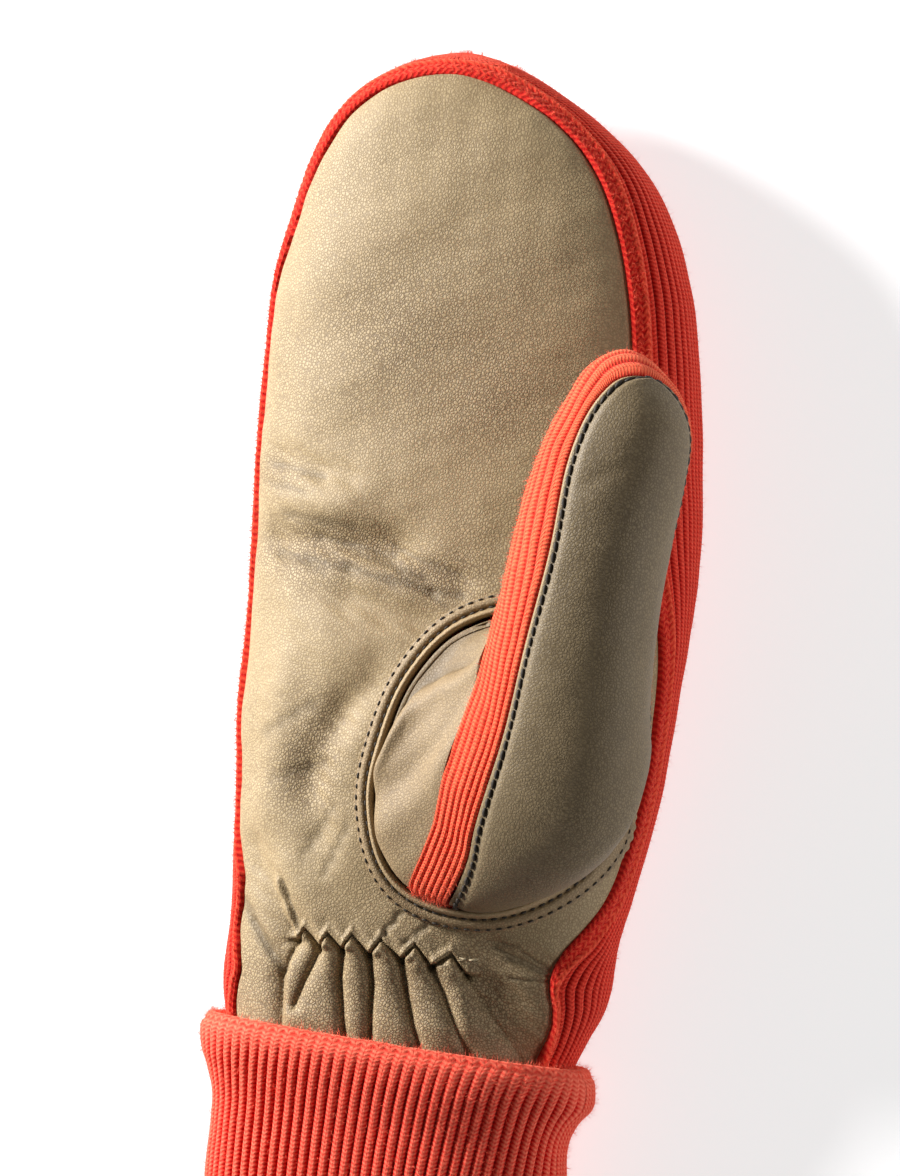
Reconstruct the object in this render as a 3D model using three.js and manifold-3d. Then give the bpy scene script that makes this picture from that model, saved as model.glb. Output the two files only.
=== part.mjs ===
// A right-hand mitten with a leather palm and thumb, a ribbed knit back and a folded knit cuff.
// Millimetres, +Z up, +Y to the fingertips, +X to the thumb side. It lies on its knit back, palm up.
// The origin is the point of the resting plane under the middle of the palm.

import * as THREE from 'three';
import ManifoldModule from 'manifold-3d';

const wasm = await ManifoldModule();
wasm.setup();

// Named sizes of the hand part
const bodyLength = 230;
const wristReach = 118;
const palmWidth = 100;
const palmDepth = 45;
const palmRoundness = 2.3;
const backRoundness = 4;
const restingShare = 1.067;
const leatherWall = 1.3;
const leatherStepIn = 0.9;
const knitWall = 2.8;
const bandHeight = 0.5;
const bandRidge = 1.1;
const seamGap = 0.3;

// Named sizes of the thumb
const thumbHoleX = 25.5;
const thumbHoleY = -44;
const thumbHoleReach = 27;
const thumbReach = 94;
const thumbWidth = 36;
const thumbDepth = 30;
const thumbYaw = 12;
const thumbRootRise = 7;
const thumbRootTuck = 1.4;
const thumbRoundness = 2.15;
const thumbWall = 1.5;
const thumbKnitWall = 2.4;
const thumbSeamGap = 0.45;
const weltWidth = 4.6;
const weltWall = 1.1;
const weltRidge = 0.8;
const holeGap = 0.7;

// Named sizes of the folded cuff
const cuffTuck = 10.4;
const cuffLength = 56;
const cuffWidth = 90;
const cuffDepth = 43;
const cuffTilt = 5;
const cuffWall = 4.2;
const cuffRibs = 84;
const cuffRibDepth = 1.1;

// Sections of the hand part, from the wrist end to the fingertips.
// along is a share of bodyLength, left and right of palmWidth, the heights of palmDepth.
const bodyRows = [
  { along: 0.000, left: -0.355, right: 0.350, top: 0.822, side: 0.422, under: 0.175 },
  { along: 0.035, left: -0.382, right: 0.380, top: 0.826, side: 0.422, under: 0.170 },
  { along: 0.065, left: -0.404, right: 0.412, top: 0.832, side: 0.422, under: 0.150 },
  { along: 0.104, left: -0.418, right: 0.447, top: 0.844, side: 0.411, under: 0.085 },
  { along: 0.157, left: -0.410, right: 0.456, top: 0.889, side: 0.400, under: 0.015 },
  { along: 0.217, left: -0.405, right: 0.489, top: 0.956, side: 0.400, under: 0.000 },
  { along: 0.287, left: -0.407, right: 0.525, top: 0.989, side: 0.400, under: 0.000 },
  { along: 0.365, left: -0.416, right: 0.549, top: 1.000, side: 0.400, under: 0.000 },
  { along: 0.448, left: -0.408, right: 0.570, top: 0.989, side: 0.400, under: 0.000 },
  { along: 0.535, left: -0.411, right: 0.584, top: 0.956, side: 0.400, under: 0.000 },
  { along: 0.622, left: -0.414, right: 0.574, top: 0.933, side: 0.391, under: 0.000 },
  { along: 0.704, left: -0.408, right: 0.556, top: 0.911, side: 0.391, under: 0.000 },
  { along: 0.778, left: -0.397, right: 0.528, top: 0.889, side: 0.400, under: 0.000 },
  { along: 0.843, left: -0.364, right: 0.478, top: 0.856, side: 0.411, under: 0.011 },
  { along: 0.896, left: -0.328, right: 0.408, top: 0.813, side: 0.422, under: 0.058 },
  { along: 0.937, left: -0.280, right: 0.308, top: 0.756, side: 0.433, under: 0.124 },
  { along: 0.967, left: -0.212, right: 0.205, top: 0.689, side: 0.444, under: 0.204 },
  { along: 0.989, left: -0.118, right: 0.110, top: 0.600, side: 0.451, under: 0.300 },
  { along: 1.000, left: 0.000, right: 0.000, top: 0.456, side: 0.456, under: 0.456 },
  { along: 0.989, left: 0.110, right: -0.118, top: 0.300, side: 0.451, under: 0.600 },
];

// Edge of the leather palm in degrees round each section, and the knit band outside it in mm.
const palmEdgeRows = [
  { along: 0.000, right: 30, left: 154, rightBand: 1.4, leftBand: 2.4 },
  { along: 0.060, right: 32, left: 154, rightBand: 1.5, leftBand: 2.4 },
  { along: 0.091, right: 37, left: 149, rightBand: 1.8, leftBand: 2.6 },
  { along: 0.110, right: 41, left: 145, rightBand: 2.4, leftBand: 2.8 },
  { along: 0.130, right: 40, left: 147, rightBand: 3.4, leftBand: 3.0 },
  { along: 0.150, right: 36, left: 150, rightBand: 4.6, leftBand: 3.0 },
  { along: 0.171, right: 28, left: 149, rightBand: 5.4, leftBand: 3.0 },
  { along: 0.200, right: 18, left: 150, rightBand: 5.6, leftBand: 3.0 },
  { along: 0.232, right: 13, left: 156, rightBand: 5.4, leftBand: 2.8 },
  { along: 0.262, right: 12, left: 159, rightBand: 5.2, leftBand: 2.7 },
  { along: 0.340, right: 11, left: 160, rightBand: 5.0, leftBand: 2.6 },
  { along: 0.430, right: 18, left: 160, rightBand: 5.0, leftBand: 2.6 },
  { along: 0.520, right: 33, left: 160, rightBand: 5.0, leftBand: 2.6 },
  { along: 0.610, right: 39, left: 160, rightBand: 5.0, leftBand: 2.7 },
  { along: 0.700, right: 40, left: 161, rightBand: 5.0, leftBand: 2.9 },
  { along: 0.770, right: 40, left: 162, rightBand: 5.0, leftBand: 3.3 },
  { along: 0.840, right: 40, left: 160, rightBand: 5.0, leftBand: 3.8 },
  { along: 0.890, right: 40, left: 155, rightBand: 5.0, leftBand: 4.2 },
  { along: 0.927, right: 41, left: 148, rightBand: 5.0, leftBand: 4.5 },
  { along: 0.952, right: 46, left: 139, rightBand: 5.0, leftBand: 4.7 },
  { along: 0.968, right: 55, left: 127, rightBand: 4.9, leftBand: 4.8 },
  { along: 0.976, right: 71, left: 109, rightBand: 4.8, leftBand: 4.8 },
  { along: 0.978, right: 90, left: 90, rightBand: 4.7, leftBand: 4.7 },
  { along: 0.976, right: 109, left: 71, rightBand: 4.8, leftBand: 4.8 },
];

// Creases and swells of the palm leather, from one end to the other, seen in plan.
const creaseRows = [
  { fromX: -34, fromY: 3, toX: -6, toY: 1, width: 4.2, depth: 1.5 },
  { fromX: -8, fromY: 0, toX: 14, toY: -8, width: 4.0, depth: 1.2 },
  { fromX: -36, fromY: 12, toX: -17, toY: 11, width: 4.5, depth: -0.8 },
  { fromX: -38, fromY: 22, toX: -16, toY: 17, width: 2.6, depth: 0.7 },
  { fromX: -34, fromY: -66, toX: -22, toY: -84, width: 3.6, depth: 1.3 },
  { fromX: -24, fromY: -70, toX: -13, toY: -84, width: 4.0, depth: -0.7 },
  { fromX: 24, fromY: -84, toX: 36, toY: -88, width: 2.6, depth: 0.9 },
];

// Gathers of the palm leather over the wrist elastic: where the row of pleats starts and ends.
const gatherTopY = -85;
const gatherFade = 5;
const pleatCount = 7;
const pleatDepth = 1.7;
const pleatLeftX = -24;
const pleatRightX = 22;
const pleatSpreadLeft = 2;
const pleatSpreadRight = 13;

// Reach of the thumb hole by compass turn from the thumb side over the heel, as a share.
const holeRows = [
  { turn: 0, reach: 0.74 },
  { turn: 40, reach: 0.90 },
  { turn: 70, reach: 1.03 },
  { turn: 100, reach: 1.18 },
  { turn: 130, reach: 1.27 },
  { turn: 160, reach: 1.12 },
  { turn: 190, reach: 0.99 },
  { turn: 220, reach: 1.03 },
  { turn: 250, reach: 1.16 },
  { turn: 280, reach: 1.24 },
  { turn: 305, reach: 1.11 },
  { turn: 330, reach: 0.87 },
];

// Sections of the thumb from its hole to its tip. The heel side looks up, the crotch side down.
// The Y columns are shares of thumbReach, the Z ones of thumbDepth, the widths of thumbWidth.
const thumbRows = [
  { heelY: -0.340, heelZ: -0.15, crotchY: 0.350, crotchZ: -0.05, middle: -0.030, half: 0.720 },
  { heelY: -0.305, heelZ: 0.16, crotchY: 0.358, crotchZ: 0.06, middle: 0.125, half: 0.775 },
  { heelY: -0.180, heelZ: 0.53, crotchY: 0.366, crotchZ: 0.10, middle: 0.275, half: 0.675 },
  { heelY: 0.020, heelZ: 0.82, crotchY: 0.405, crotchZ: 0.10, middle: 0.424, half: 0.540 },
  { heelY: 0.250, heelZ: 0.99, crotchY: 0.490, crotchZ: 0.09, middle: 0.511, half: 0.486 },
  { heelY: 0.490, heelZ: 1.08, crotchY: 0.592, crotchZ: 0.11, middle: 0.589, half: 0.466 },
  { heelY: 0.688, heelZ: 1.10, crotchY: 0.716, crotchZ: 0.15, middle: 0.685, half: 0.445 },
  { heelY: 0.822, heelZ: 1.05, crotchY: 0.824, crotchZ: 0.21, middle: 0.768, half: 0.388 },
  { heelY: 0.908, heelZ: 0.93, crotchY: 0.902, crotchZ: 0.32, middle: 0.780, half: 0.285 },
  { heelY: 0.957, heelZ: 0.77, crotchY: 0.954, crotchZ: 0.46, middle: 0.768, half: 0.148 },
  { heelY: 0.976, heelZ: 0.61, crotchY: 0.976, crotchZ: 0.61, middle: 0.756, half: 0.000 },
  { heelY: 0.954, heelZ: 0.46, crotchY: 0.957, crotchZ: 0.77, middle: 0.768, half: -0.148 },
];

// Outer leather panel of the thumb: its two edges in degrees, by place along thumbRows.
const panelRows = [
  { at: -0.35, low: -10, high: 107 },
  { at: 1.0, low: -12, high: 111 },
  { at: 2.0, low: -14, high: 118 },
  { at: 3.0, low: -15, high: 121 },
  { at: 4.0, low: -15, high: 118 },
  { at: 5.0, low: -15, high: 111 },
  { at: 6.0, low: -11, high: 115 },
  { at: 6.9, low: -6, high: 115 },
  { at: 7.6, low: 2, high: 105 },
  { at: 8.0, low: 13, high: 93 },
  { at: 8.25, low: 30, high: 74 },
  { at: 8.32, low: 52, high: 52 },
  { at: 8.25, low: 74, high: 30 },
];

// Inner leather gusset of the thumb: its two edges in degrees, by place along thumbRows.
const gussetRows = [
  { at: -0.35, low: 119, high: 326 },
  { at: 1.0, low: 130, high: 325 },
  { at: 2.0, low: 145, high: 324 },
  { at: 3.0, low: 162, high: 320 },
  { at: 4.0, low: 176, high: 318 },
  { at: 5.0, low: 182, high: 318 },
  { at: 6.0, low: 188, high: 314 },
  { at: 6.8, low: 200, high: 304 },
  { at: 7.3, low: 222, high: 284 },
  { at: 7.5, low: 252, high: 252 },
  { at: 7.3, low: 284, high: 222 },
];

// Sections of the folded cuff from its rolled top edge to its hem.
// down is a share of cuffLength, left and right of cuffWidth, the heights of cuffDepth.
const cuffRows = [
  { down: 0.000, left: -0.493, right: 0.463, top: 0.970, under: 0.010, wall: 0.72 },
  { down: 0.030, left: -0.503, right: 0.476, top: 1.000, under: 0.000, wall: 1.00 },
  { down: 0.120, left: -0.497, right: 0.474, top: 1.000, under: 0.000, wall: 1.00 },
  { down: 0.200, left: -0.478, right: 0.436, top: 0.980, under: 0.000, wall: 1.00 },
  { down: 0.300, left: -0.464, right: 0.414, top: 0.955, under: 0.000, wall: 1.00 },
  { down: 0.450, left: -0.468, right: 0.418, top: 0.945, under: 0.000, wall: 1.00 },
  { down: 0.720, left: -0.474, right: 0.428, top: 0.945, under: 0.000, wall: 1.00 },
  { down: 1.000, left: -0.474, right: 0.436, top: 0.945, under: 0.008, wall: 0.85 },
];

const DEGREE = Math.PI / 180;
const FULL = 2 * Math.PI;

const mix = (a, b, share) => a + (b - a) * share;
const clamp = (value, low, high) => Math.min(high, Math.max(low, value));

function smooth(share) {
  const held = clamp(share, 0, 1);
  return held * held * (3 - 2 * held);
}

// Smooth value of every column between the rows, at counted in rows.
function blend(rows, at) {
  const last = rows.length - 1;
  const here = clamp(Math.floor(at), 0, last - 1);
  const share = at - here;
  const [a, b, c, d] = [here - 1, here, here + 1, here + 2].map((i) => rows[clamp(i, 0, last)]);
  const out = {};
  for (const key of Object.keys(b)) {
    const turn = 2 * a[key] - 5 * b[key] + 4 * c[key] - d[key];
    const bend = 3 * b[key] - a[key] - 3 * c[key] + d[key];
    const slope = c[key] - a[key];
    out[key] = b[key] + 0.5 * share * (slope + share * (turn + share * bend));
  }
  return out;
}

// Place in rows where a rising column has a value.
function placeOf(rows, key, value, lastRow) {
  let low = 0;
  let high = lastRow;
  for (let i = 0; i < 40; i++) {
    const middle = (low + high) / 2;
    if (blend(rows, middle)[key] < value) low = middle;
    else high = middle;
  }
  return (low + high) / 2;
}

const bodyTip = bodyRows.length - 2;
const palmTip = palmEdgeRows.length - 2;
const thumbTip = thumbRows.length - 2;
const palmSteps = 33;
const thumbSteps = 18;

function roundedReach(turn, power) {
  const across = Math.abs(Math.cos(turn)) ** power;
  const upward = Math.abs(Math.sin(turn)) ** power;
  return (across + upward) ** (-1 / power);
}

// Outer surface of the hand part: at counts body rows, turn goes round from the thumb side.
function bodyPoint(at, turn) {
  const row = blend(bodyRows, at);
  const half = palmWidth * (row.right - row.left) / 2;
  const middle = palmWidth * (row.right + row.left) / 2;
  const upper = Math.sin(turn) >= 0;
  const rise = upper ? row.top - row.side : (row.side - row.under) * restingShare;
  const reach = roundedReach(turn, upper ? palmRoundness : backRoundness);
  const x = middle + half * reach * Math.cos(turn);
  const y = row.along * bodyLength - wristReach;
  const z = palmDepth * (row.side + rise * reach * Math.sin(turn));
  return new THREE.Vector3(x, y, Math.max(z, 0));
}

function normalOf(surface, at, turn) {
  const along = surface(at + 0.02, turn).sub(surface(at - 0.02, turn));
  const round = surface(at, turn + 0.02).sub(surface(at, turn - 0.02));
  return along.cross(round).normalize();
}

// Height of the hand part's upper surface over a point in plan.
function palmHeight(x, y) {
  const along = (y + wristReach) / bodyLength;
  const row = blend(bodyRows, placeOf(bodyRows, 'along', along, bodyTip));
  const half = palmWidth * (row.right - row.left) / 2;
  const middle = palmWidth * (row.right + row.left) / 2;
  const across = clamp(Math.abs(x - middle) / half, 0, 1);
  const rise = (1 - across ** palmRoundness) ** (1 / palmRoundness);
  return palmDepth * (row.side + (row.top - row.side) * rise);
}

// Depth of one crease at a point in plan: deepest on its line, fading at its ends.
function creaseDepth(row, x, y) {
  const lengthX = row.toX - row.fromX;
  const lengthY = row.toY - row.fromY;
  const length = Math.hypot(lengthX, lengthY);
  const along = ((x - row.fromX) * lengthX + (y - row.fromY) * lengthY) / length;
  const aside = ((x - row.fromX) * lengthY - (y - row.fromY) * lengthX) / length;
  const beyond = Math.max(0, -along, along - length);
  return row.depth * Math.exp(-((aside / row.width) ** 2) - (beyond / (1.5 * row.width)) ** 2);
}

// Rounded pleats that run from the gathering line down into the cuff.
function pleatRise(x, y) {
  const below = (gatherTopY - y) / 25;
  const left = pleatLeftX + pleatSpreadLeft * below;
  const right = pleatRightX + pleatSpreadRight * below;
  const share = (x - left) / (right - left);
  const inside = smooth((share + 0.06) / 0.08) * smooth((1.06 - share) / 0.08);
  const window = inside * smooth((gatherTopY + gatherFade - y) / gatherFade);
  return pleatDepth * window * (Math.abs(Math.sin(Math.PI * pleatCount * share)) ** 0.8 - 0.75);
}

function leatherRelief(x, y) {
  const creases = creaseRows.reduce((sum, row) => sum + creaseDepth(row, x, y), 0);
  return pleatRise(x, y) - creases;
}

// Edge of the leather palm moved outward over the surface, as [at, turn] on the hand part.
function palmEdge(side, place, outward) {
  const start = (where) => {
    const row = blend(palmEdgeRows, where);
    return [placeOf(bodyRows, 'along', row.along, bodyTip), row[side] * DEGREE];
  };
  const heading = side === 'right' ? 1 : -1;
  const pointAt = (where) => bodyPoint(...start(where));
  const before = pointAt(Math.max(0, place - 0.05));
  const after = pointAt(Math.min(palmTip, place + 0.05));
  const tangent = after.sub(before).normalize();
  if (place > palmTip - 0.04) tangent.set(-heading, 0, 0);
  let [at, turn] = start(place);
  const steps = 5;
  for (let i = 0; i < steps; i++) {
    const normal = normalOf(bodyPoint, at, turn);
    const aim = tangent.clone().cross(normal).multiplyScalar(heading * outward / steps);
    const alongStep = bodyPoint(at + 0.01, turn).sub(bodyPoint(at - 0.01, turn)).multiplyScalar(50);
    const turnStep = bodyPoint(at, turn + 0.01).sub(bodyPoint(at, turn - 0.01)).multiplyScalar(50);
    const aa = alongStep.dot(alongStep);
    const tt = turnStep.dot(turnStep);
    const both = alongStep.dot(turnStep);
    const scale = aa * tt - both * both;
    at += (aim.dot(alongStep) * tt - aim.dot(turnStep) * both) / scale;
    turn += (aim.dot(turnStep) * aa - aim.dot(alongStep) * both) / scale;
  }
  return [at, turn];
}

function holeReach(turn) {
  const degrees = ((turn / DEGREE) % 360 + 360) % 360;
  const count = holeRows.length;
  const wrapped = (i) => {
    const lap = Math.floor(i / count);
    const row = holeRows[i - lap * count];
    return { turn: row.turn + 360 * lap, reach: row.reach };
  };
  const next = holeRows.findIndex((row) => row.turn > degrees);
  const here = (next < 0 ? count : next) - 1;
  const near = [here - 1, here, here + 1, here + 2].map(wrapped);
  const share = (degrees - near[1].turn) / (near[2].turn - near[1].turn);
  return blend(near, 1 + share).reach;
}

// Point of the thumb hole's edge, moved outward in plan, at a height above the leather.
function holePoint(turn, outward, lift) {
  const reach = thumbHoleReach * holeReach(turn) + outward;
  const x = thumbHoleX + reach * Math.cos(turn);
  const y = thumbHoleY - reach * Math.sin(turn);
  return new THREE.Vector3(x, y, palmHeight(x, y) - leatherStepIn + lift);
}

// Outer surface of the thumb: at counts thumb rows, turn goes from the thumb side over the heel.
function thumbPoint(at, turn) {
  const row = blend(thumbRows, at);
  const heel = [row.heelY * thumbReach + thumbHoleY, row.heelZ * thumbDepth + palmDepth];
  const crotch = [row.crotchY * thumbReach + thumbHoleY, row.crotchZ * thumbDepth + palmDepth];
  const yaw = thumbYaw * smooth(at / 4) * DEGREE;
  const reach = roundedReach(turn, thumbRoundness);
  const across = row.half * thumbWidth * reach * Math.cos(turn);
  const share = 0.5 + 0.5 * reach * Math.sin(turn);
  const x = thumbHoleX + row.middle * thumbWidth + across * Math.cos(yaw);
  const y = mix(crotch[0], heel[0], share) - across * Math.sin(yaw);
  const z = mix(crotch[1], heel[1], share);
  const point = new THREE.Vector3(x, y, z);
  if (at >= 1.7) return point;
  const root = holePoint(turn, 0, at * (at < 0 ? 4 * thumbRootTuck : thumbRootRise));
  return root.lerp(point, smooth((at - 0.3) / 1.4));
}

// Closed mesh from triangles of points; its faces look outward.
class Shell {
  constructor() {
    this.places = [];
    this.faces = [];
    this.seen = new Map();
  }

  add(point) {
    const key = [point.x, point.y, point.z].map((value) => Math.round(value * 500)).join(' ');
    if (!this.seen.has(key)) {
      this.seen.set(key, this.places.length);
      this.places.push(point.clone());
    }
    return this.seen.get(key);
  }

  triangle(a, b, c) {
    const face = [this.add(a), this.add(b), this.add(c)];
    if (new Set(face).size === 3) this.faces.push(face);
  }

  quad(a, b, c, d) {
    const short = a.distanceTo(c) <= b.distanceTo(d);
    this.triangle(a, b, short ? c : d);
    this.triangle(short ? a : b, c, d);
  }

  // Sheet of quads over a grid of points, facing one way or the other.
  sheet(grid, flipped) {
    for (let i = 0; i + 1 < grid.length; i++) {
      for (let j = 0; j + 1 < grid[i].length; j++) {
        const [a, b] = [grid[i][j], grid[i][j + 1]];
        const [c, d] = [grid[i + 1][j + 1], grid[i + 1][j]];
        if (flipped) this.quad(d, c, b, a);
        else this.quad(a, b, c, d);
      }
    }
  }

  volume() {
    return this.faces.reduce((sum, [a, b, c]) => {
      const [p, q, r] = [this.places[a], this.places[b], this.places[c]];
      return sum + p.dot(q.clone().cross(r)) / 6;
    }, 0);
  }

  geometry() {
    const turned = this.volume() < 0;
    const order = this.faces.map(([a, b, c]) => (turned ? [a, c, b] : [a, b, c]));
    const geometry = new THREE.BufferGeometry();
    const flat = new Float32Array(this.places.flatMap((point) => point.toArray()));
    geometry.setAttribute('position', new THREE.BufferAttribute(flat, 3));
    geometry.setIndex(order.flat());
    return geometry;
  }
}

// Solid patch of a surface: grid places by two shares, then an outer and an inner offset.
function patchSolid(rows, columns, pointAt) {
  const shell = new Shell();
  const layers = ['outer', 'inner'].map((layer) => {
    const grid = [];
    for (let i = 0; i <= rows; i++) {
      grid.push([]);
      for (let j = 0; j <= columns; j++) grid[i].push(pointAt(i / rows, j / columns, layer));
    }
    return grid;
  });
  const [outer, inner] = layers;
  shell.sheet(outer, false);
  shell.sheet(inner, true);
  const rims = [
    [outer[0], inner[0]],
    [inner[rows], outer[rows]],
    [inner.map((line) => line[0]), outer.map((line) => line[0])],
    [outer.map((line) => line[columns]), inner.map((line) => line[columns])],
  ];
  for (const [front, back] of rims) shell.sheet([back, front], false);
  return shell.geometry();
}

// Closed solid of rings, each a loop of points; single points close the ends.
function loftSolid(rings, start, end) {
  const shell = new Shell();
  const count = rings[0].length;
  const looped = rings.map((ring) => [...ring, ring[0]]);
  shell.sheet(looped, false);
  for (let j = 0; j < count; j++) {
    shell.triangle(start, looped[0][j + 1], looped[0][j]);
    shell.triangle(end, looped[rings.length - 1][j], looped[rings.length - 1][j + 1]);
  }
  return shell.geometry();
}

function toManifold(geometry) {
  const vertProperties = new Float32Array(geometry.attributes.position.array);
  const triVerts = new Uint32Array(geometry.index.array);
  return new wasm.Manifold(new wasm.Mesh({ numProp: 3, vertProperties, triVerts }));
}

function subtract(base, ...tools) {
  const result = tools.reduce((body, tool) => body.subtract(toManifold(tool)), toManifold(base));
  const mesh = result.getMesh();
  const geometry = new THREE.BufferGeometry();
  geometry.setAttribute('position', new THREE.BufferAttribute(mesh.vertProperties, 3));
  geometry.setIndex([...mesh.triVerts]);
  return geometry;
}

function offsetFrom(surface, at, turn, distance) {
  return surface(at, turn).addScaledVector(normalOf(surface, at, turn), distance);
}

// Palm region between the two moved edges, with its outer and inner distances from the surface.
function palmPatch(rows, columns, outward, distances, overrun = 0) {
  const edges = new Map();
  const ends = (place) => {
    if (!edges.has(place)) {
      const right = palmEdge('right', place, outward(place).right);
      const left = palmEdge('left', place, outward(place).left);
      edges.set(place, [right, left]);
    }
    return edges.get(place);
  };
  return patchSolid(rows, columns, (i, j, layer) => {
    const [right, left] = ends(i * palmTip);
    const at = mix(right[0], left[0], j);
    const turn = mix(right[1], left[1], j);
    const point = offsetFrom(bodyPoint, at, turn, distances(at, turn, layer));
    if (i === 0) point.y -= overrun;
    return point;
  });
}

function palmLeather() {
  const inset = () => ({ right: -seamGap / 2, left: -seamGap / 2 });
  const distance = (at, turn, layer) => {
    const point = bodyPoint(at, turn);
    const relief = leatherRelief(point.x, point.y);
    return relief - leatherStepIn - (layer === 'inner' ? leatherWall : 0);
  };
  const panel = palmPatch(palmSteps, 26, inset, distance);
  const rings = [0, 1].map((level) => {
    const ring = [];
    for (let j = 0; j < 36; j++) {
      const point = holePoint(FULL * j / 36, holeGap, 0);
      ring.push(point.setZ(palmDepth * (0.2 + 1.4 * level)));
    }
    return ring;
  });
  const middle = (level) => new THREE.Vector3(thumbHoleX, thumbHoleY, palmDepth * (0.2 + 1.4 * level));
  return subtract(panel, loftSolid(rings, middle(0), middle(1)));
}

// Knit band that frames the leather, with a raised ridge along its outer side.
function edgeBand() {
  const shares = [0, 0.55, 0.85, 1];
  const heights = [0.15, 0.45, 1, 0.45];
  const place = (i) => palmTip * (i <= 0.5 ? 2 * i : 2 - 2 * i);
  const sideAt = (i) => (i <= 0.5 ? 'right' : 'left');
  return patchSolid(2 * palmSteps, shares.length - 1, (i, j, layer) => {
    const side = sideAt(i);
    const row = blend(palmEdgeRows, place(i));
    const width = row[`${side}Band`] - seamGap;
    const share = shares[Math.round(j * (shares.length - 1))];
    const [at, turn] = palmEdge(side, place(i), seamGap / 2 + width * share);
    const rise = heights[Math.round(j * (shares.length - 1))];
    const proud = mix(0, bandRidge, rise) * clamp(width / 3, 0.3, 1) + bandHeight - 0.5;
    return offsetFrom(bodyPoint, at, turn, layer === 'outer' ? proud : -knitWall);
  });
}

function bodyLoft(distance, mouth) {
  const rings = [];
  const count = 26;
  for (let i = 0; i < 22; i++) {
    const at = bodyTip * i / 22;
    const ring = [];
    for (let j = 0; j < count; j++) {
      const point = offsetFrom(bodyPoint, at, FULL * j / count, distance);
      if (i === 0) point.y -= mouth;
      ring.push(point);
    }
    rings.push(ring);
  }
  const start = bodyPoint(0, 0).lerp(bodyPoint(0, Math.PI), 0.5);
  start.y -= mouth;
  const end = bodyPoint(bodyTip, 0);
  end.y += distance;
  return loftSolid(rings, start, end);
}

function knitBack() {
  const beyond = (place) => {
    const row = blend(palmEdgeRows, place);
    return { right: row.rightBand + 1.2 * seamGap, left: row.leftBand + 1.2 * seamGap };
  };
  const through = (at, turn, layer) => (layer === 'outer' ? 2 : -knitWall - 2);
  const cutter = palmPatch(palmSteps, 7, beyond, through, 6);
  return subtract(bodyLoft(0, 0), bodyLoft(-knitWall, 3), cutter);
}

// Point at a distance from the thumb's surface; its direction settles just short of the tip.
function thumbSurface(at, turn, distance) {
  const normal = normalOf(thumbPoint, Math.min(at, thumbTip - 0.15), turn);
  return thumbPoint(at, turn).addScaledVector(normal, distance);
}

// Edge of a leather piece of the thumb, moved outward by a gap, as [at, turn].
function thumbEdge(edgeRows, share, side, outward) {
  const last = edgeRows.length - 2;
  const row = blend(edgeRows, share * last);
  const closing = 0.18 * outward * smooth((share * last - last + 2) / 2);
  const aside = outward / (thumbWidth / 2) * (side === 'high' ? 1 : -1);
  return [row.at + closing, row[side] * DEGREE + aside];
}

// Leather of the thumb between two edges that meet before the tip.
function thumbPatch(edgeRows, rows, columns, distances) {
  return patchSolid(rows, columns, (i, j, layer) => {
    const [at, low] = thumbEdge(edgeRows, i, 'low', 0);
    const high = thumbEdge(edgeRows, i, 'high', 0)[1];
    return thumbSurface(at, mix(low, high, j), distances[layer]);
  });
}

// Place between two others on the thumb: round it on its sides, straight over it at the tip.
function acrossThumb(from, to, share, overTip) {
  const round = [mix(from[0], to[0], share), mix(from[1], to[1], share)];
  const flat = ([at, turn]) => {
    return [(thumbTip - at) * Math.cos(turn), (thumbTip - at) * Math.sin(turn)];
  };
  const [start, end, side] = [from, to, round].map(flat);
  const u = mix(side[0], mix(start[0], end[0], share), overTip);
  const v = mix(side[1], mix(start[1], end[1], share), overTip);
  return [thumbTip - Math.hypot(u, v), Math.atan2(v, u)];
}

// Knit strip up one side of the thumb, over its tip and down the other, between the leathers.
function thumbStrip() {
  return patchSolid(2 * thumbSteps, 5, (i, j, layer) => {
    const farSide = i <= 0.5;
    const share = farSide ? 2 * i : 2 - 2 * i;
    const panel = thumbEdge(panelRows, share, farSide ? 'low' : 'high', thumbSeamGap);
    const gusset = thumbEdge(gussetRows, share, farSide ? 'high' : 'low', thumbSeamGap);
    if (farSide) gusset[1] -= FULL;
    const [at, turn] = acrossThumb(panel, gusset, j, smooth((share - 0.6) / 0.2));
    return thumbSurface(at, turn, layer === 'outer' ? 0 : -thumbKnitWall);
  });
}

// Leather welt round the thumb hole: a flat band with a rounded inner ridge.
function thumbWelt() {
  const shares = [0, 0.14, 0.30, 0.45, 1, 1, 0];
  const lifts = [0.9, 1, 0.62, 0.45, 0.42, 0, 0];
  const shell = new Shell();
  const rings = shares.map((share, k) => {
    const ring = [];
    for (let j = 0; j <= 40; j++) {
      const turn = FULL * (j % 40) / 40;
      const lift = seamGap + (weltWall + weltRidge) * lifts[k];
      ring.push(holePoint(turn, holeGap + weltWidth * share, lift));
    }
    return ring;
  });
  shell.sheet([...rings, rings[0]], false);
  return shell.geometry();
}

// Folded ribbed cuff round the wrist end.
function cuffPoint(row, turn, wall) {
  const half = cuffWidth * (row.right - row.left) / 2 - wall;
  const middle = cuffWidth * (row.right + row.left) / 2;
  const rise = cuffDepth * (row.top - row.under) / 2 - wall;
  const centre = cuffDepth * (row.top + row.under) / 2;
  const reach = roundedReach(turn, Math.sin(turn) >= 0 ? palmRoundness : backRoundness);
  const x = middle + half * reach * Math.cos(turn);
  const z = centre + rise * reach * Math.sin(turn);
  const top = cuffTuck - wristReach - x * Math.tan(cuffTilt * DEGREE);
  return new THREE.Vector3(x, top - cuffLength * row.down, Math.max(z, 0));
}

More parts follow.
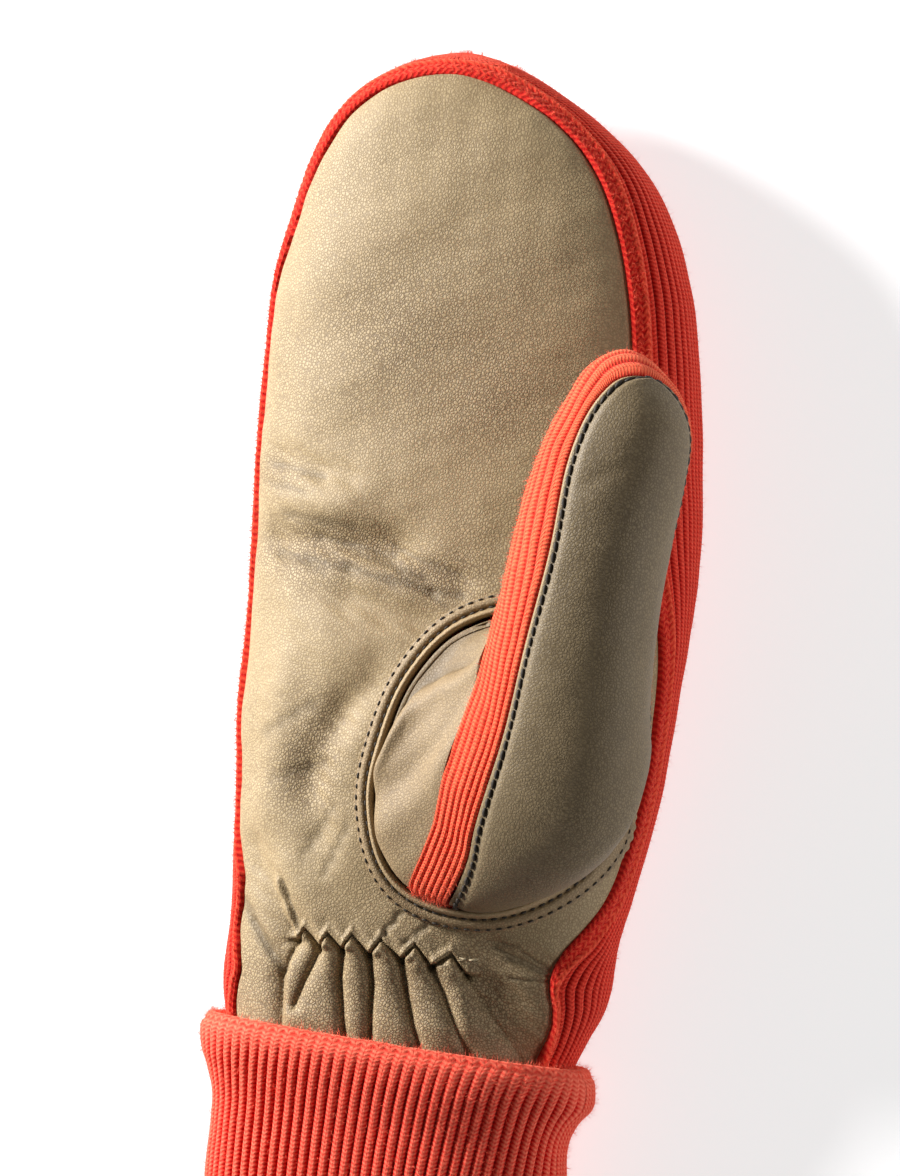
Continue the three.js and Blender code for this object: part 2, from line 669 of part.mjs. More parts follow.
function foldedCuff() {
  const count = cuffRibs * 2;
  const shell = new Shell();
  const ring = (place, share) => {
    const row = blend(cuffRows, place);
    const loop = [];
    for (let j = 0; j <= count; j++) {
      const turn = FULL * (j % count) / count;
      const groove = share === 0 && j % 2 ? cuffRibDepth : 0;
      loop.push(cuffPoint(row, turn, groove + share * row.wall * cuffWall));
    }
    return loop;
  };
  const last = cuffRows.length - 1;
  const outer = [0, 1, 2, 4, last].map((place) => ring(place, 0));
  const inner = [last, 0].map((place) => ring(place, 1));
  shell.sheet([...outer, ...inner, outer[0]], false);
  return shell.geometry();
}

const palmSkin = { color: 0xa89570, roughness: 0.55, metalness: 0 };
const thumbSkin = { color: 0x8f7f5c, roughness: 0.55, metalness: 0 };
const gussetSkin = { color: 0xb4a07c, roughness: 0.55, metalness: 0 };
const weltSkin = { color: 0x9c8a66, roughness: 0.55, metalness: 0 };
const wool = { color: 0xd8442e, roughness: 0.95, metalness: 0 };
const bandWool = { color: 0xb52a20, roughness: 0.95, metalness: 0 };
const cuffWool = { color: 0xcf3527, roughness: 0.95, metalness: 0 };
const thumbWool = { color: 0xe4543a, roughness: 0.95, metalness: 0 };

const panelDistances = { outer: 0.3, inner: 0.3 - thumbWall };
const gussetDistances = { outer: 0, inner: -thumbWall };

const pieces = [
  ['palm_leather', palmLeather(), palmSkin],
  ['knit_back', knitBack(), wool],
  ['edge_band', edgeBand(), bandWool],
  ['cuff', foldedCuff(), cuffWool],
  ['thumb_panel', thumbPatch(panelRows, thumbSteps, 7, panelDistances), thumbSkin],
  ['thumb_gusset', thumbPatch(gussetRows, thumbSteps, 8, gussetDistances), gussetSkin],
  ['thumb_knit_strip', thumbStrip(), thumbWool],
  ['thumb_welt', thumbWelt(), weltSkin],
];

const mitten = new THREE.Group();
mitten.name = 'mitten';
for (const [name, geometry, finish] of pieces) {
  geometry.computeVertexNormals();
  const mesh = new THREE.Mesh(geometry, new THREE.MeshStandardMaterial(finish));
  mesh.name = name;
  mitten.add(mesh);
}

export default mitten;
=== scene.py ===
import math

import bmesh
import bpy
import numpy as np
from mathutils import Matrix, Vector


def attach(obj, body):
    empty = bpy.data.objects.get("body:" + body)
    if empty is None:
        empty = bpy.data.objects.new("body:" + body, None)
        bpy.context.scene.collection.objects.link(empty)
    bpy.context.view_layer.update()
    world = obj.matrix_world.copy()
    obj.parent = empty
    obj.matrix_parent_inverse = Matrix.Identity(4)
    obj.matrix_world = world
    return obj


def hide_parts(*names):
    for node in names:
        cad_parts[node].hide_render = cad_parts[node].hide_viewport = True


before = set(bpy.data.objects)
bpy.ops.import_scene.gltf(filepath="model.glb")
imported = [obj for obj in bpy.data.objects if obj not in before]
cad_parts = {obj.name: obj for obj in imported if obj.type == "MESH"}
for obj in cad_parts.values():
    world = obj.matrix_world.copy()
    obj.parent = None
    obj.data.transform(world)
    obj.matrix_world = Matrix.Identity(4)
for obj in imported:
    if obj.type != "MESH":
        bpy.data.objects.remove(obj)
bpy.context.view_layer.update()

millimetre = 0.001
degree = math.pi / 180
full = 2 * math.pi

# The sizes and sections are the model's own, in millimetres and shares, as in part.mjs.
size = {
    "bodyLength": 230,
    "wristReach": 118,
    "palmWidth": 100,
    "palmDepth": 45,
    "palmRoundness": 2.3,
    "backRoundness": 4,
    "restingShare": 1.067,
    "leatherWall": 1.3,
    "leatherStepIn": 0.9,
    "knitWall": 2.8,
    "bandRidge": 1.1,
    "seamGap": 0.3,
    "thumbHoleX": 25.5,
    "thumbHoleY": -44,
    "thumbHoleReach": 27,
    "thumbReach": 94,
    "thumbWidth": 36,
    "thumbDepth": 30,
    "thumbYaw": 12,
    "thumbRootRise": 7,
    "thumbRootTuck": 1.4,
    "thumbRoundness": 2.15,
    "thumbWall": 1.5,
    "thumbKnitWall": 2.4,
    "weltWidth": 4.6,
    "weltWall": 1.1,
    "weltRidge": 0.8,
    "holeGap": 0.7,
    "cuffTuck": 10.4,
    "cuffLength": 56,
    "cuffWidth": 90,
    "cuffDepth": 43,
    "cuffTilt": 5,
    "cuffWall": 4.2,
}


def table(names, *rows):
    return dict(zip(names.split(), np.array(rows, dtype=float).T))


bodyRows = table(
    "along left right top side under",
    (0.000, -0.355, 0.350, 0.822, 0.422, 0.175),
    (0.035, -0.382, 0.380, 0.826, 0.422, 0.170),
    (0.065, -0.404, 0.412, 0.832, 0.422, 0.150),
    (0.104, -0.418, 0.447, 0.844, 0.411, 0.085),
    (0.157, -0.410, 0.456, 0.889, 0.400, 0.015),
    (0.217, -0.405, 0.489, 0.956, 0.400, 0.000),
    (0.287, -0.407, 0.525, 0.989, 0.400, 0.000),
    (0.365, -0.416, 0.549, 1.000, 0.400, 0.000),
    (0.448, -0.408, 0.570, 0.989, 0.400, 0.000),
    (0.535, -0.411, 0.584, 0.956, 0.400, 0.000),
    (0.622, -0.414, 0.574, 0.933, 0.391, 0.000),
    (0.704, -0.408, 0.556, 0.911, 0.391, 0.000),
    (0.778, -0.397, 0.528, 0.889, 0.400, 0.000),
    (0.843, -0.364, 0.478, 0.856, 0.411, 0.011),
    (0.896, -0.328, 0.408, 0.813, 0.422, 0.058),
    (0.937, -0.280, 0.308, 0.756, 0.433, 0.124),
    (0.967, -0.212, 0.205, 0.689, 0.444, 0.204),
    (0.989, -0.118, 0.110, 0.600, 0.451, 0.300),
    (1.000, 0.000, 0.000, 0.456, 0.456, 0.456),
    (0.989, 0.110, -0.118, 0.300, 0.451, 0.600),
)

palmEdgeRows = table(
    "along right left rightBand leftBand",
    (0.000, 30, 154, 1.4, 2.4),
    (0.060, 32, 154, 1.5, 2.4),
    (0.091, 37, 149, 1.8, 2.6),
    (0.110, 41, 145, 2.4, 2.8),
    (0.130, 40, 147, 3.4, 3.0),
    (0.150, 36, 150, 4.6, 3.0),
    (0.171, 28, 149, 5.4, 3.0),
    (0.200, 18, 150, 5.6, 3.0),
    (0.232, 13, 156, 5.4, 2.8),
    (0.262, 12, 159, 5.2, 2.7),
    (0.340, 11, 160, 5.0, 2.6),
    (0.430, 18, 160, 5.0, 2.6),
    (0.520, 33, 160, 5.0, 2.6),
    (0.610, 39, 160, 5.0, 2.7),
    (0.700, 40, 161, 5.0, 2.9),
    (0.770, 40, 162, 5.0, 3.3),
    (0.840, 40, 160, 5.0, 3.8),
    (0.890, 40, 155, 5.0, 4.2),
    (0.927, 41, 148, 5.0, 4.5),
    (0.952, 46, 139, 5.0, 4.7),
    (0.968, 55, 127, 4.9, 4.8),
    (0.976, 71, 109, 4.8, 4.8),
    (0.978, 90, 90, 4.7, 4.7),
    (0.976, 109, 71, 4.8, 4.8),
)

# Creases, wrinkles and swells of the palm leather in plan; a swell has a depth below zero.
creaseRows = table(
    "fromX fromY toX toY width depth",
    (-34, 2, -4, 3, 4.0, 2.1),
    (-6, 1, 12, -4, 3.2, 0.9),
    (-13, -9.5, 5, -14, 3.6, 1.3),
    (-7, -28, -14, -36, 4.0, 1.0),
    (-14, -36, -20, -49, 4.6, 1.3),
    (-20, -49, -17, -61, 4.4, 1.2),
    (-29, -30, -31, -56, 5.0, -0.9),
    (-26, -12, -16, -20, 5.0, -0.6),
    (-32, -0.5, -14, -2.9, 0.9, 0.45),
    (-14, -2.9, 6.3, -7.1, 0.9, 0.50),
    (6.3, -7.1, 13, -7.4, 0.8, 0.40),
    (-36, 12, -17, 11, 4.5, -1.2),
    (-38, 22, -16, 17, 2.6, 0.7),
    (-34, -66, -22, -84, 3.6, 1.3),
    (-24, -70, -13, -84, 4.0, -0.7),
    (24, -84, 36, -88, 2.6, 0.9),
    (25, -94, 33, -107, 4.8, 1.9),
    (-27, -73, -21.5, -85, 0.9, -0.9),
    (-25.6, -73, -20.3, -85, 0.7, 0.7),
    (-37, 15, -26, 13, 0.9, 0.35),
    (-36, 19, -22, 16.5, 0.8, 0.35),
    (-30, 8, -14, 6, 0.9, 0.30),
    (-22, 3.5, -4, 0.5, 0.8, 0.35),
    (-12, 0.5, 4, -4, 0.7, 0.40),
    (-4, 2.5, 12, -3, 0.7, 0.30),
    (-2, -3, 10, -10, 0.8, 0.35),
    (-33, -1, -20, -4, 1.0, 0.25),
    (-31, -40, -20, -33, 1.4, 0.25),
    (-28, -50, -17, -46, 1.2, 0.22),
    (-10, -60, -15, -70, 1.0, 0.28),
    (-14, -56, -20, -66, 1.2, 0.26),
    (24, -84, 35, -88.5, 0.4, 0.40),
    (27, -86.5, 36, -89.5, 0.4, 0.45),
    (30, -84.5, 36, -88.0, 0.4, 0.35),
    (28, -90.5, 36, -90.5, 0.4, 0.35),
    (22, -82.5, 29, -83.5, 0.4, 0.25),
    (-36, -78, -28, -88, 1.2, 0.5),
    (-33, -82, -25, -92, 0.9, 0.4),
    (10, -79, 5, -84, 0.8, 0.35),
    (3, -78, -2, -84, 0.8, 0.35),
)

# Pleats below the wrist elastic: the groove between two pleats, from its top over a middle point,
# how high the arch to its right rises over the tops of its two grooves, and where it peaks.
pleatGrooves = table(
    "topX topY midX midY endX endY depth width rise peak",
    (-21.5, -85.6, -25.3, -93.6, -24.8, -104.5, 1.7, 1.7, 3.4, 0.34),
    (-15.7, -86.9, -19.2, -94.5, -21.0, -99.5, 1.6, 1.5, 3.8, 0.38),
    (-10.3, -87.0, -10.7, -93.0, -8.6, -108.5, 2.2, 1.5, 4.2, 0.36),
    (-4.1, -87.8, -3.3, -93.0, -3.0, -108.5, 2.3, 1.5, 4.4, 0.38),
    (3.2, -88.4, 4.7, -95.4, 8.6, -108.5, 2.3, 1.6, 4.6, 0.48),
    (10.0, -89.4, 13.2, -95.0, 19.0, -108.5, 2.0, 1.7, 4.2, 0.62),
    (17.6, -90.6, 21.8, -96.6, 31.0, -108.5, 1.4, 2.4, 0.0, 0.50),
)

holeRows = table(
    "turn reach",
    (0, 0.74),
    (40, 0.90),
    (70, 1.03),
    (100, 1.18),
    (130, 1.27),
    (160, 1.12),
    (190, 0.99),
    (220, 1.03),
    (250, 1.16),
    (280, 1.24),
    (305, 1.11),
    (330, 0.87),
)

thumbRows = table(
    "heelY heelZ crotchY crotchZ middle half",
    (-0.340, -0.15, 0.350, -0.05, -0.030, 0.720),
    (-0.305, 0.16, 0.358, 0.06, 0.125, 0.775),
    (-0.180, 0.53, 0.366, 0.10, 0.275, 0.675),
    (0.020, 0.82, 0.405, 0.10, 0.424, 0.540),
    (0.250, 0.99, 0.490, 0.09, 0.511, 0.486),
    (0.490, 1.08, 0.592, 0.11, 0.589, 0.466),
    (0.688, 1.10, 0.716, 0.15, 0.685, 0.445),
    (0.822, 1.05, 0.824, 0.21, 0.768, 0.388),
    (0.908, 0.93, 0.902, 0.32, 0.780, 0.285),
    (0.957, 0.77, 0.954, 0.46, 0.768, 0.148),
    (0.976, 0.61, 0.976, 0.61, 0.756, 0.000),
    (0.954, 0.46, 0.957, 0.77, 0.768, -0.148),
)

panelRows = table(
    "at low high",
    (-0.35, -10, 107),
    (1.0, -12, 111),
    (2.0, -14, 118),
    (3.0, -15, 121),
    (4.0, -15, 118),
    (5.0, -15, 111),
    (6.0, -11, 115),
    (6.9, -6, 115),
    (7.6, 2, 105),
    (8.0, 13, 93),
    (8.25, 30, 74),
    (8.32, 52, 52),
    (8.25, 74, 30),
)

gussetRows = table(
    "at low high",
    (-0.35, 119, 326),
    (1.0, 130, 325),
    (2.0, 145, 324),
    (3.0, 162, 320),
    (4.0, 176, 318),
    (5.0, 182, 318),
    (6.0, 188, 314),
    (6.8, 200, 304),
    (7.3, 222, 284),
    (7.5, 252, 252),
    (7.3, 284, 222),
)

cuffRows = table(
    "down left right top under wall",
    (0.000, -0.493, 0.463, 0.970, 0.010, 0.72),
    (0.030, -0.503, 0.476, 1.000, 0.000, 1.00),
    (0.120, -0.497, 0.474, 1.000, 0.000, 1.00),
    (0.200, -0.478, 0.436, 0.980, 0.000, 1.00),
    (0.300, -0.464, 0.414, 0.955, 0.000, 1.00),
    (0.450, -0.468, 0.418, 0.945, 0.000, 1.00),
    (0.720, -0.474, 0.428, 0.945, 0.000, 1.00),
    (1.000, -0.474, 0.436, 0.945, 0.008, 0.85),
)

bodyTip = len(bodyRows["along"]) - 2
palmTip = len(palmEdgeRows["along"]) - 2
thumbTip = len(thumbRows["half"]) - 2


def mix(a, b, share):
    return a + (b - a) * share


def smooth(share):
    held = np.clip(share, 0, 1)
    return held * held * (3 - 2 * held)


def blend(rows, name, at):
    column = rows[name]
    last = len(column) - 1
    here = np.clip(np.floor(at).astype(int), 0, last - 1)
    share = at - here
    a, b, c, d = (column[np.clip(here + step, 0, last)] for step in (-1, 0, 1, 2))
    turn = 2 * a - 5 * b + 4 * c - d
    bend = 3 * b - a - 3 * c + d
    return b + 0.5 * share * ((c - a) + share * (turn + share * bend))


ladder = np.linspace(0, bodyTip, 6000)
ladderAlong = blend(bodyRows, "along", ladder)


def bodyPlace(along):
    return np.interp(along, ladderAlong, ladder)


def roundedReach(turn, power):
    across = np.abs(np.cos(turn)) ** power
    upward = np.abs(np.sin(turn)) ** power
    return (across + upward) ** (-1 / power)


def bodyPoint(at, turn):
    at, turn = np.broadcast_arrays(np.asarray(at, float), np.asarray(turn, float))
    left, right = (size["palmWidth"] * blend(bodyRows, name, at) for name in ("left", "right"))
    top, side, under = (blend(bodyRows, name, at) for name in ("top", "side", "under"))
    upper = np.sin(turn) >= 0
    rise = np.where(upper, top - side, (side - under) * size["restingShare"])
    power = np.where(upper, size["palmRoundness"], size["backRoundness"])
    reach = roundedReach(turn, power)
    x = (right + left) / 2 + (right - left) / 2 * reach * np.cos(turn)
    y = blend(bodyRows, "along", at) * size["bodyLength"] - size["wristReach"]
    z = size["palmDepth"] * (side + rise * reach * np.sin(turn))
    return np.stack([x, y, np.maximum(z, 0)], axis=-1)


def unit(vectors):
    return vectors / np.maximum(np.linalg.norm(vectors, axis=-1, keepdims=True), 1e-9)


# Length travelled along a line of points, and along each row of a grid of points.
def travelAlong(line):
    return np.concatenate([[0], np.cumsum(np.linalg.norm(np.diff(line, axis=0), axis=-1))])


def travelAcross(grid):
    strides = np.linalg.norm(np.diff(grid, axis=1), axis=-1)
    return np.concatenate([np.zeros((len(grid), 1)), np.cumsum(strides, axis=1)], axis=1)


# Distance from the nearer end of each point's own row.
def edgeDistance(grid):
    fromStart = travelAcross(grid)
    return np.minimum(fromStart, fromStart[:, -1:] - fromStart)


def pointsAt(stops, travelled, line):
    return np.stack([np.interp(stops, travelled, line[:, k]) for k in range(3)], axis=-1)


def normalOf(surface, at, turn):
    along = surface(at + 0.02, turn) - surface(at - 0.02, turn)
    around = surface(at, turn + 0.02) - surface(at, turn - 0.02)
    return unit(np.cross(along, around))


def palmHeight(x, y):
    at = bodyPlace((y + size["wristReach"]) / size["bodyLength"])
    left, right = (size["palmWidth"] * blend(bodyRows, name, at) for name in ("left", "right"))
    across = np.clip(np.abs(x - (right + left) / 2) / ((right - left) / 2), 0, 1)
    rise = (1 - across ** size["palmRoundness"]) ** (1 / size["palmRoundness"])
    top, side = blend(bodyRows, "top", at), blend(bodyRows, "side", at)
    return size["palmDepth"] * (side + (top - side) * rise)


# Place and turn of the palm leather's edge, moved outward over the surface.
def palmEdge(side, place, outward):
    place = np.asarray(place, float)
    outward = np.broadcast_to(np.asarray(outward, float), place.shape)

    def start(where):
        at = bodyPlace(blend(palmEdgeRows, "along", where))
        return at, blend(palmEdgeRows, side, where) * degree

    heading = 1 if side == "right" else -1
    before = bodyPoint(*start(np.maximum(0, place - 0.05)))
    after = bodyPoint(*start(np.minimum(palmTip, place + 0.05)))
    tangent = unit(after - before)
    tangent[place > palmTip - 0.04] = (-heading, 0, 0)
    at, turn = start(place)
    steps = 5
    for _ in range(steps):
        normal = normalOf(bodyPoint, at, turn)
        aim = np.cross(tangent, normal) * (heading * outward / steps)[..., None]
        alongStep = (bodyPoint(at + 0.01, turn) - bodyPoint(at - 0.01, turn)) * 50
        turnStep = (bodyPoint(at, turn + 0.01) - bodyPoint(at, turn - 0.01)) * 50
        aa = np.sum(alongStep * alongStep, -1)
        tt = np.sum(turnStep * turnStep, -1)
        both = np.sum(alongStep * turnStep, -1)
        scale = aa * tt - both * both
        aimAlong = np.sum(aim * alongStep, -1)
        aimTurn = np.sum(aim * turnStep, -1)
        at = at + (aimAlong * tt - aimTurn * both) / scale
        turn = turn + (aimTurn * aa - aimAlong * both) / scale
    return at, turn


def holeReachAt(degrees):
    turns = np.concatenate([holeRows["turn"] + 360 * lap for lap in (-1, 0, 1, 2)])
    reaches = np.tile(holeRows["reach"], 4)
    here = np.searchsorted(turns, degrees, side="right") - 1
    share = (degrees - turns[here]) / (turns[here + 1] - turns[here])
    near = {"reach": reaches}
    return blend(near, "reach", here + share)


holeTurns = np.arange(0, 361)
holeReaches = holeReachAt(holeTurns.astype(float))


def holeReach(turn):
    return np.interp(np.mod(turn / degree, 360), holeTurns, holeReaches)


def holePoint(turn, outward, lift):
    reach = size["thumbHoleReach"] * holeReach(turn) + outward
    x = size["thumbHoleX"] + reach * np.cos(turn)
    y = size["thumbHoleY"] - reach * np.sin(turn)
    return np.stack([x, y, palmHeight(x, y) - size["leatherStepIn"] + lift], axis=-1)


def thumbPoint(at, turn):
    at, turn = np.broadcast_arrays(np.asarray(at, float), np.asarray(turn, float))
    reachY, depthZ = size["thumbReach"], size["thumbDepth"]
    heelY = blend(thumbRows, "heelY", at) * reachY + size["thumbHoleY"]
    heelZ = blend(thumbRows, "heelZ", at) * depthZ + size["palmDepth"]
    crotchY = blend(thumbRows, "crotchY", at) * reachY + size["thumbHoleY"]
    crotchZ = blend(thumbRows, "crotchZ", at) * depthZ + size["palmDepth"]
    yaw = size["thumbYaw"] * smooth(at / 4) * degree
    reach = roundedReach(turn, size["thumbRoundness"])
    width = size["thumbWidth"]
    across = blend(thumbRows, "half", at) * width * reach * np.cos(turn)
    share = 0.5 + 0.5 * reach * np.sin(turn)
    x = size["thumbHoleX"] + blend(thumbRows, "middle", at) * width + across * np.cos(yaw)
    y = mix(crotchY, heelY, share) - across * np.sin(yaw)
    z = mix(crotchZ, heelZ, share)
    point = np.stack([x, y, z], axis=-1)
    lift = at * np.where(at < 0, 4 * size["thumbRootTuck"], size["thumbRootRise"])
    root = holePoint(turn, 0, lift)
    share = np.where(at >= 1.7, 1, smooth((at - 0.3) / 1.4))[..., None]
    return mix(root, point, share)


def bodyNormal(at, turn, tipMargin):
    return normalOf(bodyPoint, np.minimum(at, bodyTip - tipMargin), turn)


def thumbNormal(at, turn):
    return normalOf(thumbPoint, np.minimum(at, thumbTip - 0.15), turn)


def thumbSurface(at, turn, distance):
    return thumbPoint(at, turn) + thumbNormal(at, turn) * np.asarray(distance)[..., None]


# Soft wandering value between about -1 and 1 from a few crossed waves.
def noiseField(points, scale, seed):
    x, y, z = (points[..., k] for k in range(3))
    picker = np.random.default_rng(seed)
    total = np.zeros(x.shape)
    for _ in range(7):
        aim = picker.normal(size=3)
        aim *= picker.uniform(0.6, 1.6) / np.linalg.norm(aim)
        total += np.sin((x * aim[0] + y * aim[1] + z * aim[2]) * full / scale + picker.uniform(0, full))
    return total / 3.2


def lineDistance(x, y, fromX, fromY, toX, toY):
    lengthX, lengthY = toX - fromX, toY - fromY
    length = math.hypot(lengthX, lengthY)
    along = ((x - fromX) * lengthX + (y - fromY) * lengthY) / length
    aside = ((x - fromX) * lengthY - (y - fromY) * lengthX) / length
    beyond = np.maximum(0, np.maximum(-along, along - length))
    return aside, beyond, np.clip(along / length, 0, 1)


def sideSwell(surface):
    x, y = surface[..., 0], surface[..., 1]
    return 0.7 * smooth((-33 - x) / 6) * smooth((y + 84) / 20) * smooth((78 - y) / 24)


def creaseRelief(x, y, widest=100):
    total = np.zeros_like(x)
    for row in zip(*creaseRows.values()):
        fromX, fromY, toX, toY, width, depth = row
        if width > widest:
            continue
        wander = 0.35 * min(width, 1) * np.sin((x + 1.7 * y) * 0.9 + fromX)
        aside, beyond, _ = lineDistance(x, y, fromX, fromY, toX, toY)
        fall = np.exp(-(((aside + wander) / width) ** 2) - (beyond / (1.5 * width)) ** 2)
        total -= depth * fall
    return total * (0.15 + 0.85 * smooth((x + 39.5) / 7))


# The line where the pleats start: a pointed arch over each pleat, a point down at each groove.
def gatherLine(x):
    tops, heights, rises = (pleatGrooves[name] for name in ("topX", "topY", "rise"))
    here = np.clip(np.searchsorted(tops, x, side="right") - 1, 0, len(tops) - 2)
    share = np.clip((x - tops[here]) / (tops[here + 1] - tops[here]), 0, 1)
    peaks = pleatGrooves["peak"][here]
    arch = np.minimum(share / peaks, (1 - share) / (1 - peaks)) ** 0.85
    return mix(heights[here], heights[here + 1], share) + rises[here] * arch


# Pointed arches, the pleats under them and the puckers over them.
def gatherRelief(x, y):
    line = gatherLine(x)
    within = smooth((x + 24.5) / 3) * smooth((19.5 - x) / 2)
    below = line - y
    arch = -0.85 * np.exp(-((below - 0.15) / 0.36) ** 2) * within
    lip = 0.75 * np.exp(-((below + 1.0) / 1.1) ** 2) * within
    crown = 1.4 * smooth((x + 26) / 4) * smooth((23 - x) / 6) * smooth(below / 1.8) * smooth((111 + y) / 10)
    total = arch + lip + crown
    for row in zip(*pleatGrooves.values()):
        topX, topY, midX, midY, endX, endY, depth, width = row[:8]
        wide, thin = np.zeros_like(x), np.zeros_like(x)
        for ends in ((topX, topY, midX, midY), (midX, midY, endX, endY)):
            aside, beyond, _ = lineDistance(x, y, *ends)
            wide = np.maximum(wide, np.exp(-(np.abs(aside) / width) ** 1.3 - (beyond / 1.2) ** 2))
            thin = np.maximum(thin, np.exp(-(aside / 0.45) ** 2 - (beyond / 0.8) ** 2))
        fade = mix(1, 0.75, smooth((-y - 88) / 18))
        total -= depth * fade * (1.0 * wide + 0.22 * thin) * smooth((line + 1.0 - y) / 1.2)
        aside, beyond, share = lineDistance(x, y, topX, topY, topX - 4.6, topY + 7.5)
        total -= 1.0 * (1 - share) * np.exp(-((aside / 0.8) ** 2) - (beyond / 0.8) ** 2)
        total += 0.7 * (1 - share) * np.exp(-(((aside - 1.9) / 1.1) ** 2) - (beyond / 0.8) ** 2)
    return total


def quads(rows, columns, wraps, flip, keep, base):
    i, j = np.meshgrid(np.arange(rows - 1), np.arange(columns if wraps else columns - 1), indexing="ij")
    if keep is not None:
        i, j = i[keep], j[keep]
    next_ = (j + 1) % columns
    corners = [i * columns + j, (i + 1) * columns + j, (i + 1) * columns + next_, i * columns + next_]
    faces = np.stack([c.ravel() for c in corners], axis=-1) + base
    return faces[:, ::-1] if flip else faces


# Faces between the fine outer border and the coarse inner one.
def rimFaces(rows, columns, step, wraps, inner):
    coarse = columns // step if wraps else (columns - 1) // step + 1
    last = (rows - 1) * columns
    lastInner = inner + ((rows - 1) // step) * coarse
    faces = []
    for a in range(0, columns if wraps else columns - 1, step):
        run = [(a + k) % columns for k in range(step + 1)]
        b = a // step
        c = (b + 1) % coarse if wraps else b + 1
        faces.append(run + [inner + c, inner + b])
        faces.append([last + k for k in run][::-1] + [lastInner + b, lastInner + c])
    if not wraps:
        for a in range(0, rows - 1, step):
            run = [(a + k) * columns for k in range(step + 1)]
            b, c = (inner + (a // step + k) * coarse for k in (0, 1))
            faces.append(run[::-1] + [b, c])
            faces.append([k + columns - 1 for k in run] + [c + coarse - 1, b + coarse - 1])
    return faces


def meshOf(name, points, faces):
    mesh = bpy.data.meshes.new(name)
    mesh.from_pydata((points * millimetre).tolist(), [], faces)
    return mesh


def linked(name, data):
    piece = bpy.data.objects.new(name, data)
    bpy.context.scene.collection.objects.link(piece)
    return piece


# A closed wall: a fine outer grid of points, a coarser inner one, and the rims between.
def wall(name, outer, inner, step, marks, finish, uv=None, wraps=False, keep=None):
    rows, columns = outer.shape[:2]
    innerRows, innerColumns = inner.shape[:2]
    start = rows * columns
    points = np.concatenate([outer.reshape(-1, 3), inner.reshape(-1, 3)])
    points[:, 2] = np.maximum(points[:, 2], 0)
    innerKeep = keep[::step, ::step] if keep is not None else None
    outside = quads(rows, columns, wraps, False, keep, 0)
    inside = quads(innerRows, innerColumns, wraps, True, innerKeep, start)
    faces = outside.tolist() + inside.tolist() + rimFaces(rows, columns, step, wraps, start)
    flat = np.concatenate([outside, inside])
    centre = points.mean(axis=0)
    a, b, c, d = (points[flat[:, k]] - centre for k in range(4))
    volume = np.sum(a * np.cross(b, c)) + np.sum(a * np.cross(c, d))
    if volume < 0:
        faces = [face[::-1] for face in faces]
    mesh = meshOf(name, points, faces)
    every = slice(None, None, step)
    for mark, values in marks.items():
        layer = mesh.attributes.new(mark, "FLOAT", "POINT")
        both = np.concatenate([values.ravel(), values[every, every].ravel()])
        layer.data.foreach_set("value", both.astype(np.float32))
    if uv is not None:
        flatUv = np.concatenate([uv.reshape(-1, 2), uv[every, every].reshape(-1, 2)])
        corner = np.empty(len(mesh.loops), dtype=np.int32)
        mesh.loops.foreach_get("vertex_index", corner)
        layer = mesh.uv_layers.new(name="knit")
        layer.data.foreach_set("uv", flatUv[corner].astype(np.float32).ravel())
    work = bmesh.new()
    work.from_mesh(mesh)
    bmesh.ops.remove_doubles(work, verts=work.verts, dist=1e-6)
    work.to_mesh(mesh)
    work.free()
    mesh.shade_smooth()
    mesh.set_sharp_from_angle(angle=70 * degree)
    mesh.materials.append(finish)
    print(name, len(mesh.polygons), "faces, volume sign", "+" if volume > 0 else "-")
    return linked(name, mesh)


# Materials

def nodesOf(name):
    material = bpy.data.materials.new(name)
    material.use_nodes = True
    tree = material.node_tree
    shader = next(node for node in tree.nodes if node.type == "BSDF_PRINCIPLED")
    return material, tree, shader


def add(tree, kind, **values):
    node = tree.nodes.new(kind)
    for key, value in values.items():
        if key in node.inputs:
            node.inputs[key].default_value = value
        else:
            setattr(node, key, value)
    return node


def maths(tree, operation, first, second=None, third=None):
    node = tree.nodes.new("ShaderNodeMath")
    node.operation = operation
    for slot, value in enumerate((first, second, third)):
        if value is None:
            continue
        if isinstance(value, (int, float)):
            node.inputs[slot].default_value = value
        else:
            tree.links.new(value, node.inputs[slot])
    return node.outputs[0]


def ramp(tree, value, *stops):
    node = tree.nodes.new("ShaderNodeValToRGB")
    elements = node.color_ramp.elements
    while len(elements) < len(stops):
        elements.new(0.5)
    for element, (place, colour) in zip(elements, stops):
        element.position = place
        element.color = (*colour, 1)
    tree.links.new(value, node.inputs[0])
    return node.outputs[0]


def noise(tree, place, out="Fac", **values):
    node = add(tree, "ShaderNodeTexNoise", **values)
    tree.links.new(place, node.inputs["Vector"])
    return node.outputs[out]


def attribute(tree, name):
    return add(tree, "ShaderNodeAttribute", attribute_name=name).outputs["Fac"]


def setSockets(shader, values):
    for name, value in values.items():
        shader.inputs[name].default_value = value


def tinted(colour, share):
    return tuple(min(1, c * share) for c in colour)


# Scene colour of a display colour given from 0 to 255.
def linear(red, green, blue):
    return tuple(c / 12.92 if c <= 0.04045 else ((c + 0.055) / 1.055) ** 2.4
                 for c in (red / 255, green / 255, blue / 255))


def mixed(tree, factor, first, second):
    node = tree.nodes.new("ShaderNodeMix")
    node.data_type = "RGBA"
    by = {s.name: s for s in node.inputs if s.enabled}
    for socket, value in ((by["Factor"], factor), (by["A"], first), (by["B"], second)):
        if isinstance(value, tuple):
            socket.default_value = (*value, 1)
        else:
            tree.links.new(value, socket)
    return next(s for s in node.outputs if s.enabled)


def bump(tree, height, distance, strength):
    node = add(tree, "ShaderNodeBump", Strength=strength, Distance=distance)
    tree.links.new(height, node.inputs["Height"])
    return node.outputs[0]


